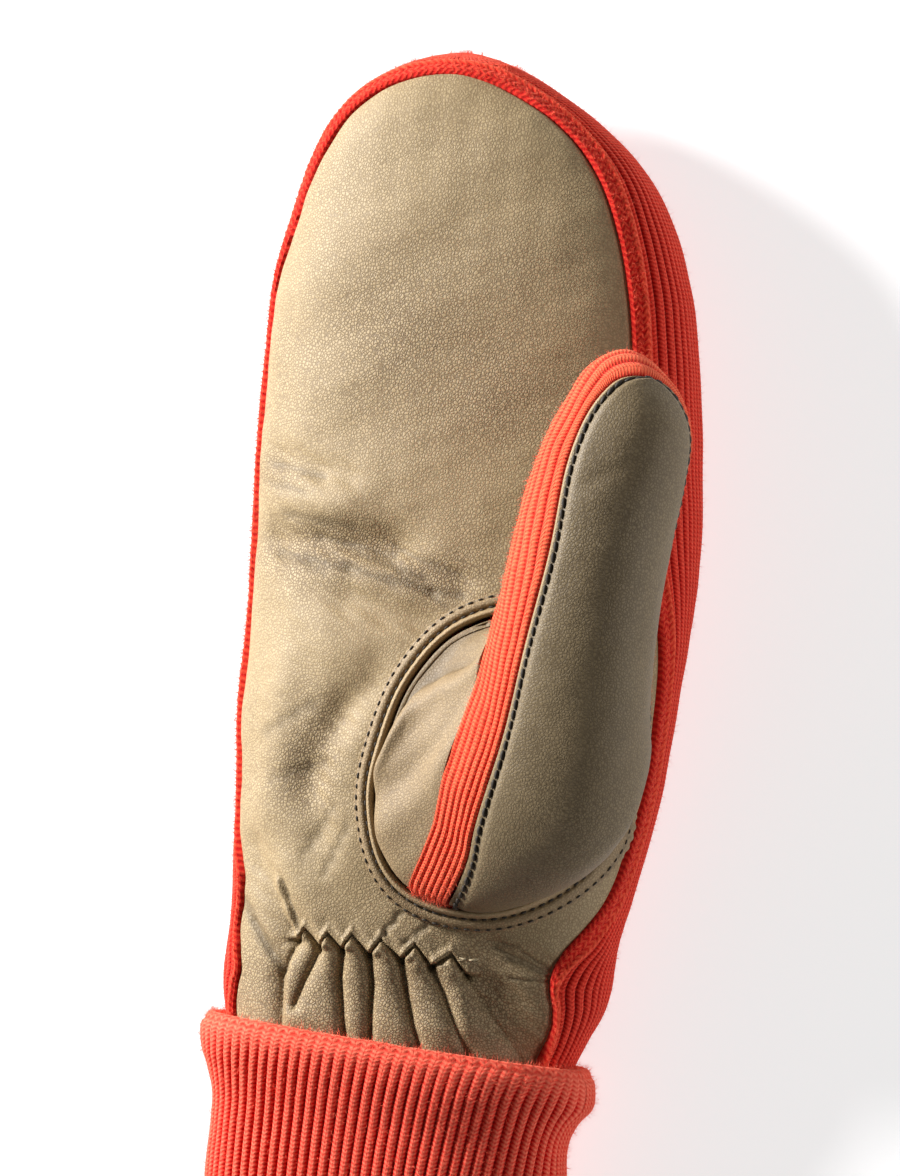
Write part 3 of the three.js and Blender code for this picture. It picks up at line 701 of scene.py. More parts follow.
hide = {
    "warpScale": 900,
    "warpShare": 0.9,
    "mottleScale": 70,
    "patchScale": 32,
    "speckScale": 2200,
    "crackSlope": 3.6,
    "crackPower": 0.7,
    "patchGain": 0.7,
    "patchBase": 0.4,
    "patchLeast": 0.5,
    "toneGain": 0.6,
    "toneBase": 0.25,
    "plainCracks": 0.8,
    "mostCrack": 0.9,
    "crackTint": (0.36, 0.30, 0.23),
    "markShare": 0.75,
    "rimTint": 1.5,
    "paintedShadeTint": 0.3,
    "speckShare": 0.12,
    "patchBump": 0.8,
    "wornBump": 0.7,
    "plainBump": 0.8,
    "bumpDepth": 0.00014,
    "bumpStrength": 0.7,
    "sockets": {"Specular IOR Level": 0.42, "Coat Weight": 0.08, "Coat Roughness": 0.5},
}


# Pebbled glove leather with fine dark cracks between the pebbles; grain is a pebble's size in metres.
def leather(name, light, deep, grain, roughness):
    material, tree, shader = nodesOf(name)
    place = add(tree, "ShaderNodeTexCoord").outputs["Object"]
    shift = tree.nodes.new("ShaderNodeVectorMath")
    shift.operation = "MULTIPLY_ADD"
    tree.links.new(noise(tree, place, "Color", Scale=hide["warpScale"], Detail=2), shift.inputs[0])
    shift.inputs[1].default_value = (grain * hide["warpShare"],) * 3
    tree.links.new(place, shift.inputs[2])
    cells = add(tree, "ShaderNodeTexVoronoi", feature="DISTANCE_TO_EDGE", Scale=1 / grain)
    tree.links.new(shift.outputs[0], cells.inputs["Vector"])
    mottle = noise(tree, place, Scale=hide["mottleScale"], Detail=5, Roughness=0.6)
    patch = noise(tree, place, Scale=hide["patchScale"], Detail=2)
    speck = noise(tree, place, Scale=hide["speckScale"], Detail=2, Roughness=0.6)
    worn = attribute(tree, "worn")
    pebble = maths(tree, "MINIMUM", maths(tree, "MULTIPLY", cells.outputs[0], hide["crackSlope"]), 1)
    pebble = maths(tree, "POWER", pebble, hide["crackPower"])
    crack = maths(tree, "SUBTRACT", 1, pebble)
    coarse = maths(tree, "MULTIPLY_ADD", patch, hide["patchGain"], hide["patchBase"])
    coarse = maths(tree, "MINIMUM", maths(tree, "MAXIMUM", coarse, hide["patchLeast"]), 1)
    tone = maths(tree, "MULTIPLY_ADD", mottle, hide["toneGain"], hide["toneBase"])
    base = mixed(tree, tone, deep, light)
    showing = maths(tree, "MULTIPLY", coarse, maths(tree, "ADD", worn, hide["plainCracks"]))
    mark = maths(tree, "MINIMUM", maths(tree, "MULTIPLY", crack, showing), hide["mostCrack"])
    base = mixed(tree, mark, base, tuple(c * share for c, share in zip(deep, hide["crackTint"])))
    # Lighter toward pale leather along the rim mark: pale leather edges, and on the welt a painted highlight
    # along the piping.
    rim = maths(tree, "MULTIPLY", attribute(tree, "rim"), hide["markShare"])
    base = mixed(tree, rim, base, tinted(light, hide["rimTint"]))
    # Darker toward deep leather in the creases, seam grooves, gusset pocket and stitch dimples: painted
    # shade.
    paintedShade = maths(tree, "MULTIPLY", attribute(tree, "paintedShade"), hide["markShare"])
    base = mixed(tree, paintedShade, base, tinted(deep, hide["paintedShadeTint"]))
    tree.links.new(base, shader.inputs["Base Color"])
    rough = maths(tree, "MULTIPLY_ADD", speck, hide["speckShare"], roughness - hide["speckShare"] / 2)
    tree.links.new(rough, shader.inputs["Roughness"])
    raised = maths(tree, "MULTIPLY_ADD", coarse, hide["patchBump"], 1 - hide["patchBump"])
    height = maths(tree, "MULTIPLY_ADD", speck, hide["speckShare"], maths(tree, "MULTIPLY", pebble, raised))
    used = maths(tree, "MULTIPLY_ADD", worn, hide["wornBump"], hide["plainBump"])
    height = maths(tree, "MULTIPLY", height, used)
    tree.links.new(bump(tree, height, hide["bumpDepth"], hide["bumpStrength"]), shader.inputs["Normal"])
    setSockets(shader, hide["sockets"])
    return material


yarn = {
    "fibreScale": 1500,
    "cloudScale": 260,
    "slant": -1.35,
    "wander": 0.5,
    "middleSlope": 9,
    "strandShade": 0.30,
    "middleShade": 0.12,
    "fibreShade": 0.66,
    "grooveShade": 0.62,
    "darkest": 0.6,
    "deepAt": 0.22,
    "lightAt": 0.80,
    "fibreLump": 0.9,
    "strandLump": 0.55,
    "middleLump": 0.35,
    "bumpDepth": 0.00030,
    "bumpStrength": 0.8,
    "sockets": {"Roughness": 0.93, "Specular IOR Level": 0.15, "Sheen Weight": 0.34, "Sheen Roughness": 0.5,
                "Sheen Tint": (1, 0.46, 0.28, 1)},
}


# Knit of V stitches: the piece's own map counts wales across and courses along.
def wool(name, light, deep):
    material, tree, shader = nodesOf(name)
    split = tree.nodes.new("ShaderNodeSeparateXYZ")
    tree.links.new(add(tree, "ShaderNodeUVMap", uv_map="knit").outputs[0], split.inputs[0])
    place = add(tree, "ShaderNodeTexCoord").outputs["Object"]
    fibre = noise(tree, place, Scale=yarn["fibreScale"], Detail=6, Roughness=0.8, Distortion=1.2)
    cloud = noise(tree, place, Scale=yarn["cloudScale"], Detail=3, Roughness=0.6)
    leg = maths(tree, "ABSOLUTE", maths(tree, "SUBTRACT", maths(tree, "FRACT", split.outputs[0]), 0.5))
    slant = maths(tree, "MULTIPLY_ADD", leg, yarn["slant"], split.outputs[1])
    slant = maths(tree, "MULTIPLY_ADD", maths(tree, "SUBTRACT", cloud, 0.5), yarn["wander"], slant)
    strand = maths(tree, "MULTIPLY_ADD", maths(tree, "SINE", maths(tree, "MULTIPLY", slant, full)), 0.5, 0.5)
    middle = maths(tree, "MINIMUM", maths(tree, "MULTIPLY", leg, yarn["middleSlope"]), 1)
    # The colour darkens between the V strands and along each wale's middle, where the yarn legs part:
    # painted shade of the stitch relief; the fibre noise is the yarn's own uneven tone.
    shade = maths(tree, "MULTIPLY", middle, yarn["middleShade"])
    shade = maths(tree, "MULTIPLY_ADD", strand, yarn["strandShade"], shade)
    shade = maths(tree, "ADD", shade, maths(tree, "MULTIPLY", fibre, yarn["fibreShade"]))
    # Darker in the grooves between ribs through the groove mark: painted shade.
    grooveAndShade = maths(tree, "MULTIPLY", attribute(tree, "grooveAndShade"), yarn["grooveShade"])
    shade = maths(tree, "SUBTRACT", shade, grooveAndShade)
    stops = ((0.0, tinted(deep, yarn["darkest"])), (yarn["deepAt"], deep), (yarn["lightAt"], light))
    tree.links.new(ramp(tree, shade, *stops), shader.inputs["Base Color"])
    lumps = maths(tree, "MULTIPLY", strand, yarn["strandLump"])
    lumps = maths(tree, "MULTIPLY_ADD", fibre, yarn["fibreLump"], lumps)
    lumps = maths(tree, "MULTIPLY_ADD", middle, yarn["middleLump"], lumps)
    tree.links.new(bump(tree, lumps, yarn["bumpDepth"], yarn["bumpStrength"]), shader.inputs["Normal"])
    setSockets(shader, yarn["sockets"])
    return material


def thread(name, colour, roughness=0.7):
    material, tree, shader = nodesOf(name)
    place = add(tree, "ShaderNodeTexCoord").outputs["Object"]
    twist = noise(tree, place, Scale=3500, Detail=2)
    base = mixed(tree, twist, tuple(c * 0.6 for c in colour), tuple(c * 1.5 for c in colour))
    tree.links.new(base, shader.inputs["Base Color"])
    tree.links.new(bump(tree, twist, 0.00008, 0.6), shader.inputs["Normal"])
    shader.inputs["Roughness"].default_value = roughness
    return material


palmFinish = leather("palm_leather_skin", linear(178, 157, 120), linear(154, 130, 91), 0.00070, 0.62)
# The thumb panel's leather is the palm leather made darker for the shade the panel sits in: painted shade.
thumbShadedFinish = leather("thumb_leather_painted_shade", linear(138, 120, 88), linear(110, 92, 63), 0.00072, 0.58)
gussetFinish = leather("gusset_leather_skin", linear(158, 136, 101), linear(134, 110, 75), 0.00070, 0.62)
weltFinish = leather("welt_leather_skin", linear(164, 141, 105), linear(138, 113, 77), 0.00068, 0.62)
# The knit's one red yarn comes in four brightnesses, the back darker and the cuff and thumb strip lighter
# and more orange, matched to how each is lit: painted light and shade.
backWool = wool("back_wool", linear(255, 80, 60), linear(190, 8, 12))
bandWool = wool("band_wool", linear(255, 100, 68), linear(206, 20, 20))
cuffWool = wool("cuff_wool", linear(255, 128, 100), linear(222, 12, 16))
thumbWool = wool("thumb_wool", linear(255, 126, 84), linear(216, 34, 30))
darkThread = thread("dark_thread", linear(40, 31, 20))
paleThread = thread("pale_thread", linear(150, 134, 104))
fuzzWool = thread("fuzz_wool", linear(250, 104, 76), 0.9)
print("materials made")


# Palm leather

palm = {
    "rows": 416,
    "columns": 212,
    "step": 4,
    "edgeDrop": 0.7,
    "edgeReach": 0.9,
    "wristDetail": 1.6,
    "leftOverlap": 1.4,
    "overSeam": 0.4,
    "tipMargin": 0.1,
    "deepestInside": 0.3,
    "holeMargin": 1.4,
    "finestWrinkle": 1.4,
    "rimReach": 0.5,
    "rimShade": 0.3,
}


# Places along the palm's edge, evenly spread by length, with more of them at the wrist if wanted.
def evenPlaces(count, band, wristDetail=0.0):
    fine = np.linspace(0, palmTip, 1200)
    right, left = (bodyPoint(*palmEdge(side, fine, band)) for side in ("right", "left"))
    rightStrides, leftStrides = (np.linalg.norm(np.diff(edge, axis=0), axis=1) for edge in (right, left))
    strides = (rightStrides + leftStrides) / 2
    strides = strides * (1 + wristDetail * smooth((-74 - right[1:, 1]) / 6))
    travelled = np.concatenate([[0], np.cumsum(strides)])
    return np.interp(np.linspace(0, travelled[-1], count), travelled, fine)


# How far the leather reaches over the band on the little-finger side.
def leftShift(places):
    return palm["leftOverlap"] * smooth((places - 1) / 3) * smooth((17 - places) / 3)


# How strongly the grain shows: most in the folds across the palm, left of the hole and in the pleats.
wornSpots = table(
    "x y reachX reachY strength",
    (-18, 1, 20, 6.5, 1.0),
    (4, -4, 12, 6, 1.0),
    (-20, -46, 8, 14, 0.7),
    (-34, 17, 12, 5, 0.6),
    (0, -96, 40, 13, 0.9),
    (0, 42, 30, 34, 0.35),
)


def wornness(x, y):
    total = np.zeros_like(x)
    for row in zip(*wornSpots.values()):
        spotX, spotY, reachX, reachY, strength = row
        near = np.exp(-((x - spotX) / reachX) ** 2 - ((y - spotY) / reachY) ** 2)
        total = np.maximum(total, strength * near)
    return total


def makePalm():
    places = evenPlaces(palm["rows"] + 1, 0, palm["wristDetail"])
    gap = -size["seamGap"] / 2 + palm["overSeam"]
    rightAt, rightTurn = (v[:, None] for v in palmEdge("right", places, gap))
    leftAt, leftTurn = (v[:, None] for v in palmEdge("left", places, gap + leftShift(places)))
    shares = np.linspace(0, 1, palm["columns"] + 1)[None, :]
    at, turn = mix(rightAt, leftAt, shares), mix(rightTurn, leftTurn, shares)
    surface = bodyPoint(at, turn)
    normal = bodyNormal(at, turn, palm["tipMargin"])
    x, y = surface[..., 0], surface[..., 1]
    plan = surface * (1, 1, 0)
    gather = gatherRelief(x, y)
    relief = creaseRelief(x, y) + gather
    relief += 0.22 * noiseField(plan, 26, 3) + 0.06 * noiseField(plan, 9, 5)
    fromEdge = edgeDistance(surface)
    turned = palm["edgeDrop"] * np.exp(-(fromEdge / palm["edgeReach"]) ** 2)
    swell = sideSwell(surface)
    offset = relief + swell - size["leatherStepIn"] - turned
    outer = surface + normal * offset[..., None]
    under = np.minimum(relief, palm["deepestInside"]) + swell - size["leatherStepIn"] - size["leatherWall"]
    step = palm["step"]
    inner = (surface + normal * under[..., None])[::step, ::step]
    alongX = x - size["thumbHoleX"]
    alongY = size["thumbHoleY"] - y
    reach = np.hypot(alongX, alongY) - size["thumbHoleReach"] * holeReach(np.arctan2(alongY, alongX))
    middle = (reach[:-1, :-1] + reach[1:, 1:] + reach[:-1, 1:] + reach[1:, :-1]) / 4
    keep = middle > size["holeGap"] + palm["holeMargin"]
    # Darker in the pleat grooves under the elastic and in the fine wrinkles: painted shade.
    wrinkle = np.clip(-creaseRelief(x, y, palm["finestWrinkle"]) / 0.4, 0, 1)
    paintedShade = np.clip(np.clip(-(gather + 0.5) / 2.2, 0, 1) ** 1.5 + 0.7 * wrinkle, 0, 1)
    rim = np.exp(-(fromEdge / palm["rimReach"]) ** 2) * palm["rimShade"]
    marks = {"paintedShade": paintedShade, "rim": rim, "worn": wornness(x, y)}
    piece = wall("palm_skin", outer, inner, step, marks, palmFinish, keep=keep)
    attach(piece, "root")
    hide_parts("palm_leather")


makePalm()


# Ribbed knit back

# At the fingertip the last rows close: closing is how far each goes to the tip, meeting how far to the
# middle between the two edges.
back = {
    "wales": 54,
    "perWale": 8,
    "rows": 200,
    "step": 6,
    "spreadOut": 4,
    "ribDepth": 0.8,
    "course": 0.95,
    "underBand": 1.1,
    "closing": (0.35, 0.7, 0.9, 1.0),
    "meeting": (0.5, 1.0, 1.0, 1.0),
    "tipGap": 0.012,
    "tipMargin": 0.12,
    "wander": 0.1,
    "sinkAll": 0.1,
    "bandDip": 0.9,
    "dipReach": 1.2,
    "closedOffset": -0.15,
    "fuzzScale": 0.9,
}
fuzzSites = []


def ribProfile(count, power=0.62):
    return np.abs(np.sin(np.pi * count)) ** power


# Shares that are evenly spread along each row of points.
def evenAround(points, shares, columns):
    travelled = travelAcross(points)
    wanted = np.linspace(0, 1, columns)
    rows = [np.interp(wanted * run[-1], run, shares) for run in travelled]
    return np.array(rows), travelled[:, -1]


def makeBack():
    places = evenPlaces(back["rows"] + 1, back["spreadOut"])
    rightOut = blend(palmEdgeRows, "rightBand", places) - back["underBand"]
    leftOut = blend(palmEdgeRows, "leftBand", places) - back["underBand"]
    rightAt, rightTurn = (v[:, None] for v in palmEdge("right", places, rightOut))
    leftAt, leftTurn = (v[:, None] for v in palmEdge("left", places, leftOut))
    leftTurn = leftTurn - full
    closing, meeting = (np.array(back[name])[:, None] for name in ("closing", "meeting"))
    tipAt = mix((rightAt[-1] + leftAt[-1]) / 2, bodyTip - back["tipGap"], closing)
    rightAt, leftAt = (np.concatenate([at, tipAt]) for at in (rightAt, leftAt))
    meetTurn = (rightTurn[-1:] + leftTurn[-1:] + full) / 2
    rightTurn = np.concatenate([rightTurn, mix(rightTurn[-1:], meetTurn, meeting)])
    leftTurn = np.concatenate([leftTurn, mix(leftTurn[-1:], meetTurn - full, meeting)])
    dense = np.linspace(0, 1, 400)
    line = bodyPoint(mix(rightAt, leftAt, dense), mix(rightTurn, leftTurn, dense))
    columns = back["wales"] * back["perWale"] + 1
    shares, girth = evenAround(line, dense, columns)
    at, turn = mix(rightAt, leftAt, shares), mix(rightTurn, leftTurn, shares)
    surface = bodyPoint(at, turn)
    normal = bodyNormal(at, turn, back["tipMargin"])
    count = np.broadcast_to(np.linspace(0, back["wales"], columns), at.shape)
    pitch = (girth / back["wales"])[:, None]
    strength = smooth((pitch - 0.5) / 1.2)
    ridge = ribProfile(count)
    wander = back["wander"] * noiseField(surface, 18, 11)
    offset = back["ribDepth"] * strength * (ridge - 1) - back["sinkAll"] + np.minimum(wander, back["wander"])
    nearBand = np.minimum(count, back["wales"] - count) * pitch
    closed = np.concatenate([0 * places, closing[:, 0]])[:, None]
    dip = back["bandDip"] * np.exp(-(nearBand / back["dipReach"]) ** 2)
    offset = mix(offset - dip * (closed == 0), back["closedOffset"], closed)
    offset = offset + sideSwell(surface) * (closed == 0)
    normal = unit(mix(normal, np.array([0.0, 1.0, 0.0]), closed[..., None]))
    outer = surface + normal * offset[..., None]
    inner = (surface - normal * size["knitWall"])[::back["step"], ::back["step"]]
    travel = travelAlong(surface[:, columns // 8])
    course = np.broadcast_to((travel / back["course"])[:, None], at.shape)
    uv = np.stack([count, course], axis=-1)
    # Darker in the grooves between ribs: painted shade.
    marks = {"grooveAndShade": (1 - ridge) * strength}
    piece = wall("back_knit", outer, inner, back["step"], marks, backWool, uv=uv)
    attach(piece, "root")
    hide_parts("knit_back")
    fuzzSites.append((outer, normal, back["fuzzScale"]))


makeBack()


# Knit band round the leather: a garter facing and a raised chain ridge outside it

band = {
    "rows": 640,
    "columns": 20,
    "step": 4,
    "spreadOut": 3,
    "chain": 1.55,
    "garter": 1.25,
    "tipMargin": 0.12,
    "ridgeInset": 0.85,
    "ridgeReach": 0.62,
    "facingEdge": 0.8,
    "sunk": 0.55,
    "garterHeight": 0.16,
    "chainHeight": 0.22,
    "wale": 1.7,
    "fuzzScale": 0.8,
}


def makeBand():
    half = evenPlaces(band["rows"] // 2 + 1, band["spreadOut"])
    places = np.concatenate([half, half[::-1][1:]])
    onRight = np.arange(len(places)) <= band["rows"] // 2
    rightWidth = blend(palmEdgeRows, "rightBand", places)
    leftWidth = blend(palmEdgeRows, "leftBand", places)
    shift = np.where(onRight, 0, leftShift(places))
    width = np.where(onRight, rightWidth, leftWidth) - size["seamGap"] - shift
    across = np.linspace(0, 1, band["columns"] + 1)
    at = np.empty((len(places), len(across)))
    turn = np.empty_like(at)
    for k, share in enumerate(across):
        out = size["seamGap"] / 2 + shift + width * share
        rightAt, rightTurn = palmEdge("right", places, out)
        leftAt, leftTurn = palmEdge("left", places, out)
        at[:, k] = np.where(onRight, rightAt, leftAt)
        turn[:, k] = np.where(onRight, rightTurn, leftTurn)
    surface = bodyPoint(at, turn)
    normal = bodyNormal(at, turn, band["tipMargin"])
    travel = travelAlong(surface[:, band["columns"] // 2])[:, None]
    across = across[None, :]
    wide = width[:, None]
    ridgeAt = 1 - np.clip(band["ridgeInset"] / wide, 0.14, 0.35)
    ridge = np.exp(-((across - ridgeAt) * wide / band["ridgeReach"]) ** 2)
    facing = smooth(across * wide / band["facingEdge"])
    facing = facing * smooth((ridgeAt - across) * wide / band["facingEdge"])
    garter = np.sin(travel / band["garter"] * full + 2.2 * np.sin(across * 9))
    chain = 0.5 + 0.5 * np.cos(travel / band["chain"] * full - np.abs(across - ridgeAt) * wide * 2.4)
    tall = size["bandRidge"] * np.clip(wide / 3, 0.55, 1)
    rise = -band["sunk"] + facing * (band["sunk"] + band["garterHeight"] * garter)
    rise = rise + ridge * (tall - 0.05 + band["chainHeight"] * (chain - 0.5))
    rise = rise + 0.05 * noiseField(surface, 5, 17) + sideSwell(surface)
    outer = surface + normal * rise[..., None]
    inner = (surface - normal * size["knitWall"])[::band["step"], ::band["step"]]
    uv = np.stack([across * wide / band["wale"] + 0 * travel, travel / band["chain"] + 0 * across], axis=-1)
    # Darker away from the chain ridge, less on the garter facing: painted shade.
    marks = {"grooveAndShade": np.clip(0.62 * (1 - ridge) - 0.3 * facing * (0.6 + 0.4 * garter), 0, 1)}
    piece = wall("band_knit", outer, inner, band["step"], marks, bandWool, uv=uv)
    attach(piece, "root")
    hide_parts("edge_band")
    fuzzSites.append((outer, normal, band["fuzzScale"]))


makeBand()


# Folded cuff

# The ribs lean aside below the lip, from leanLeft to leanRight across the cuff, and straighten over
# leanLength.
cuff = {
    "ribs": 84,
    "perRib": 7,
    "rows": 84,
    "step": 7,
    "lipRows": 14,
    "lipRise": 1.7,
    "lipCourse": 3.5,
    "ribDepth": 0.95,
    "ribPower": 0.7,
    "course": 0.95,
    "leanLeft": 0.05,
    "leanRight": 0.46,
    "leanLength": 26,
    "softDown": 9,
    "fuzzScale": 1.1,
}


def cuffPoint(place, turn, depth):
    left, right = (size["cuffWidth"] * blend(cuffRows, name, place) for name in ("left", "right"))
    top, under = (size["cuffDepth"] * blend(cuffRows, name, place) for name in ("top", "under"))
    reach = roundedReach(turn, np.where(np.sin(turn) >= 0, size["palmRoundness"], size["backRoundness"]))
    x = (right + left) / 2 + ((right - left) / 2 - depth) * reach * np.cos(turn)
    z = (top + under) / 2 + ((top - under) / 2 - depth) * reach * np.sin(turn)
    lip = size["cuffTuck"] - size["wristReach"] - x * math.tan(size["cuffTilt"] * degree)
    y = lip - size["cuffLength"] * blend(cuffRows, "down", place)
    return np.stack([x, y, np.maximum(z, 0)], axis=-1)


def makeCuff():
    rows, lipRows, step = cuff["rows"], cuff["lipRows"], cuff["step"]
    last = len(cuffRows["down"]) - 1
    downs = blend(cuffRows, "down", np.linspace(0, last, 800))
    fine = np.interp(np.linspace(0, 1, rows + 1 - lipRows), downs, np.linspace(0, last, 800))
    place = np.concatenate([np.zeros(lipRows), fine])[:, None]
    roll = np.concatenate([np.linspace(1, 0, lipRows + 1)[:-1], np.zeros(len(fine))])[:, None]
    dense = np.linspace(0, full, 1200)
    ring = cuffPoint(np.full((1, 1), 3.0), dense[None, :], 0)
    columns = cuff["ribs"] * cuff["perRib"]
    shares, _ = evenAround(ring, dense, columns + 1)
    count = np.linspace(0, cuff["ribs"], columns + 1)[None, :-1]
    baseTurn = shares[:, :-1]
    down = blend(cuffRows, "down", place[:, 0])[:, None] * size["cuffLength"]
    left, right = (size["cuffWidth"] * blend(cuffRows, name, place) for name in ("left", "right"))
    middle, half = (left + right) / 2, (right - left) / 2
    across = np.cos(baseTurn) * roundedReach(baseTurn, size["palmRoundness"])
    slope = mix(cuff["leanLeft"], cuff["leanRight"], (across + 1) / 2)
    wanted = -slope * cuff["leanLength"] * (1 - np.exp(-down / cuff["leanLength"]))
    given = middle - middle[0] + (half - half[0]) * across
    above = np.maximum(np.sin(baseTurn), 0)
    turn = baseTurn + (given - wanted) / half * above / (above ** 2 + 0.10)
    wallHere = blend(cuffRows, "wall", place[:, 0])[:, None] * size["cuffWall"]
    surface = cuffPoint(place, turn, wallHere * (0.5 - 0.5 * np.cos(np.pi * roll)))
    surface[..., 1] += cuff["lipRise"] * np.sin(np.pi * roll)
    along = np.gradient(surface, axis=0)
    around = np.roll(surface, -1, axis=1) - np.roll(surface, 1, axis=1)
    normal = unit(np.cross(around, along))
    ridge = ribProfile(count + 0 * place, cuff["ribPower"])
    soft = (0.25 + 0.75 * smooth(down / cuff["softDown"])) * (1 - 0.75 * smooth((roll - 0.1) / 0.5))
    soft = soft * np.ones_like(ridge)
    offset = cuff["ribDepth"] * soft * (ridge - 1) + 0.12 * np.minimum(noiseField(surface, 13, 23), 0)
    outer = surface + normal * offset[..., None]
    inner = cuffPoint(place[::step], turn[::step, ::step], wallHere[::step])
    travel = down - cuff["lipCourse"] * roll
    uv = np.stack([count + 0 * travel, -travel / cuff["course"] + 0 * count], axis=-1)
    # Darker in the grooves between ribs: painted shade.
    marks = {"grooveAndShade": (1 - ridge) * soft}
    piece = wall("cuff_knit", outer, inner, step, marks, cuffWool, uv=uv, wraps=True)
    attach(piece, "root")
    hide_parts("cuff")
    fuzzSites.append((outer, normal, cuff["fuzzScale"]))


makeCuff()


# Thumb: outer leather panel, inner gusset and the ribbed strip between them

thumb = {
    "rows": 200,
    "panelColumns": 64,
    "gussetColumns": 96,
    "stripRows": 320,
    "stripColumns": 66,
    "step": 4,
    "stripStep": 2,
    "wales": 6.55,
    "panelIn": -0.1,
    "seamOut": 0.25,
    "panelLift": 0.3,
    "stripLift": 0.25,
    "seamReach": 1.45,
    "seamGroove": 0.55,
    "ribDepth": 0.6,
    "ribPower": 0.6,
    "course": 0.9,
    "fuzzScale": 0.8,
}


def thumbEdge(rows, share, side, outward):
    last = len(rows["at"]) - 2
    closing = 0.18 * outward * smooth((share * last - last + 2) / 2)
    aside = outward / (size["thumbWidth"] / 2) * (1 if side == "high" else -1)
    return blend(rows, "at", share * last) + closing, blend(rows, side, share * last) * degree + aside


def evenThumb(rows, count):
    fine = np.linspace(0, 1, 900)
    line = thumbPoint(*thumbEdge(rows, fine, "high", 0))
    other = thumbPoint(*thumbEdge(rows, fine, "low", 0))
    strides = np.linalg.norm(np.diff(line, axis=0), axis=1) + np.linalg.norm(np.diff(other, axis=0), axis=1)
    travelled = np.concatenate([[0], np.cumsum(strides)])
    return np.interp(np.linspace(0, travelled[-1], count), travelled, fine)


# Places and turns of a thumb leather's grid, between its low and its high edge.
def thumbGrid(rows, columns, outward):
    share = evenThumb(rows, thumb["rows"] + 1)[:, None]
    at, low = thumbEdge(rows, share, "low", outward)
    high = thumbEdge(rows, share, "high", outward)[1]
    turn = mix(low, high, np.linspace(0, 1, columns + 1)[None, :])
    return at + 0 * turn, turn


def makePanel():
    step = thumb["step"]
    at, turn = thumbGrid(panelRows, thumb["panelColumns"], thumb["panelIn"])
    surface = thumbPoint(at, turn)
    sideways = edgeDistance(surface)
    x, y = surface[..., 0], surface[..., 1]
    grooveAndShade = np.exp(-((sideways - thumb["seamReach"]) / thumb["seamGroove"]) ** 2)
    lipRound = 0.35 * np.exp(-(sideways / 0.35) ** 2)
    swell = 0.18 * noiseField(surface, 22, 31) + 0.05 * noiseField(surface, 7, 37)
    fold = 0.45 * np.exp(-((y - 0.55 * x + 8) / 2.2) ** 2) * smooth((x - 44) / 8) * smooth((28 - y) / 14)
    rootDip = 0.5 * np.exp(-(at / 0.35) ** 2)
    edgePuff = 0.45 * smooth((sideways - 1.6) / 2.0)
    offset = 0.35 - 0.55 * grooveAndShade - lipRound + swell * smooth(sideways / 6) - fold + edgePuff - rootDip
    outer = thumbSurface(at, turn, offset)
    inner = thumbSurface(at, turn, 0 * at + thumb["panelLift"] - size["thumbWall"])[::step, ::step]
    # Darker in the seam groove beside the stitches: painted shade; the rim mark is the pale raw edge.
    marks = {"rim": np.exp(-(sideways / 0.85) ** 6), "paintedShade": 0.8 * grooveAndShade}
    piece = wall("thumb_panel_skin", outer, inner, step, marks, thumbShadedFinish)
    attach(piece, "root")
    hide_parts("thumb_panel")
    return outer


# The fold that parts the gusset's bulge from the pocket beside the crotch: its angle by place.
gussetFold = table(
    "at angle",
    (0.0, 176),
    (0.55, 179),
    (0.85, 185),
    (1.15, 192),
    (1.40, 197),
    (2.08, 195),
    (2.70, 184),
    (3.30, 172),
    (4.00, 165),
)


# The first four are angles in degrees round the thumb: two ridges, the strip's side, the pocket's far end.
gusset = {
    "outerRidge": 150,
    "innerRidge": 163,
    "stripSide": 230,
    "pocketEnd": 297,
    "browHeight": 1.1,
    "pocketDepth": 1.7,
    "sunk": 0.3,
    "holeMargin": 0.1,
    "tuckByPlace": 0.5,
}


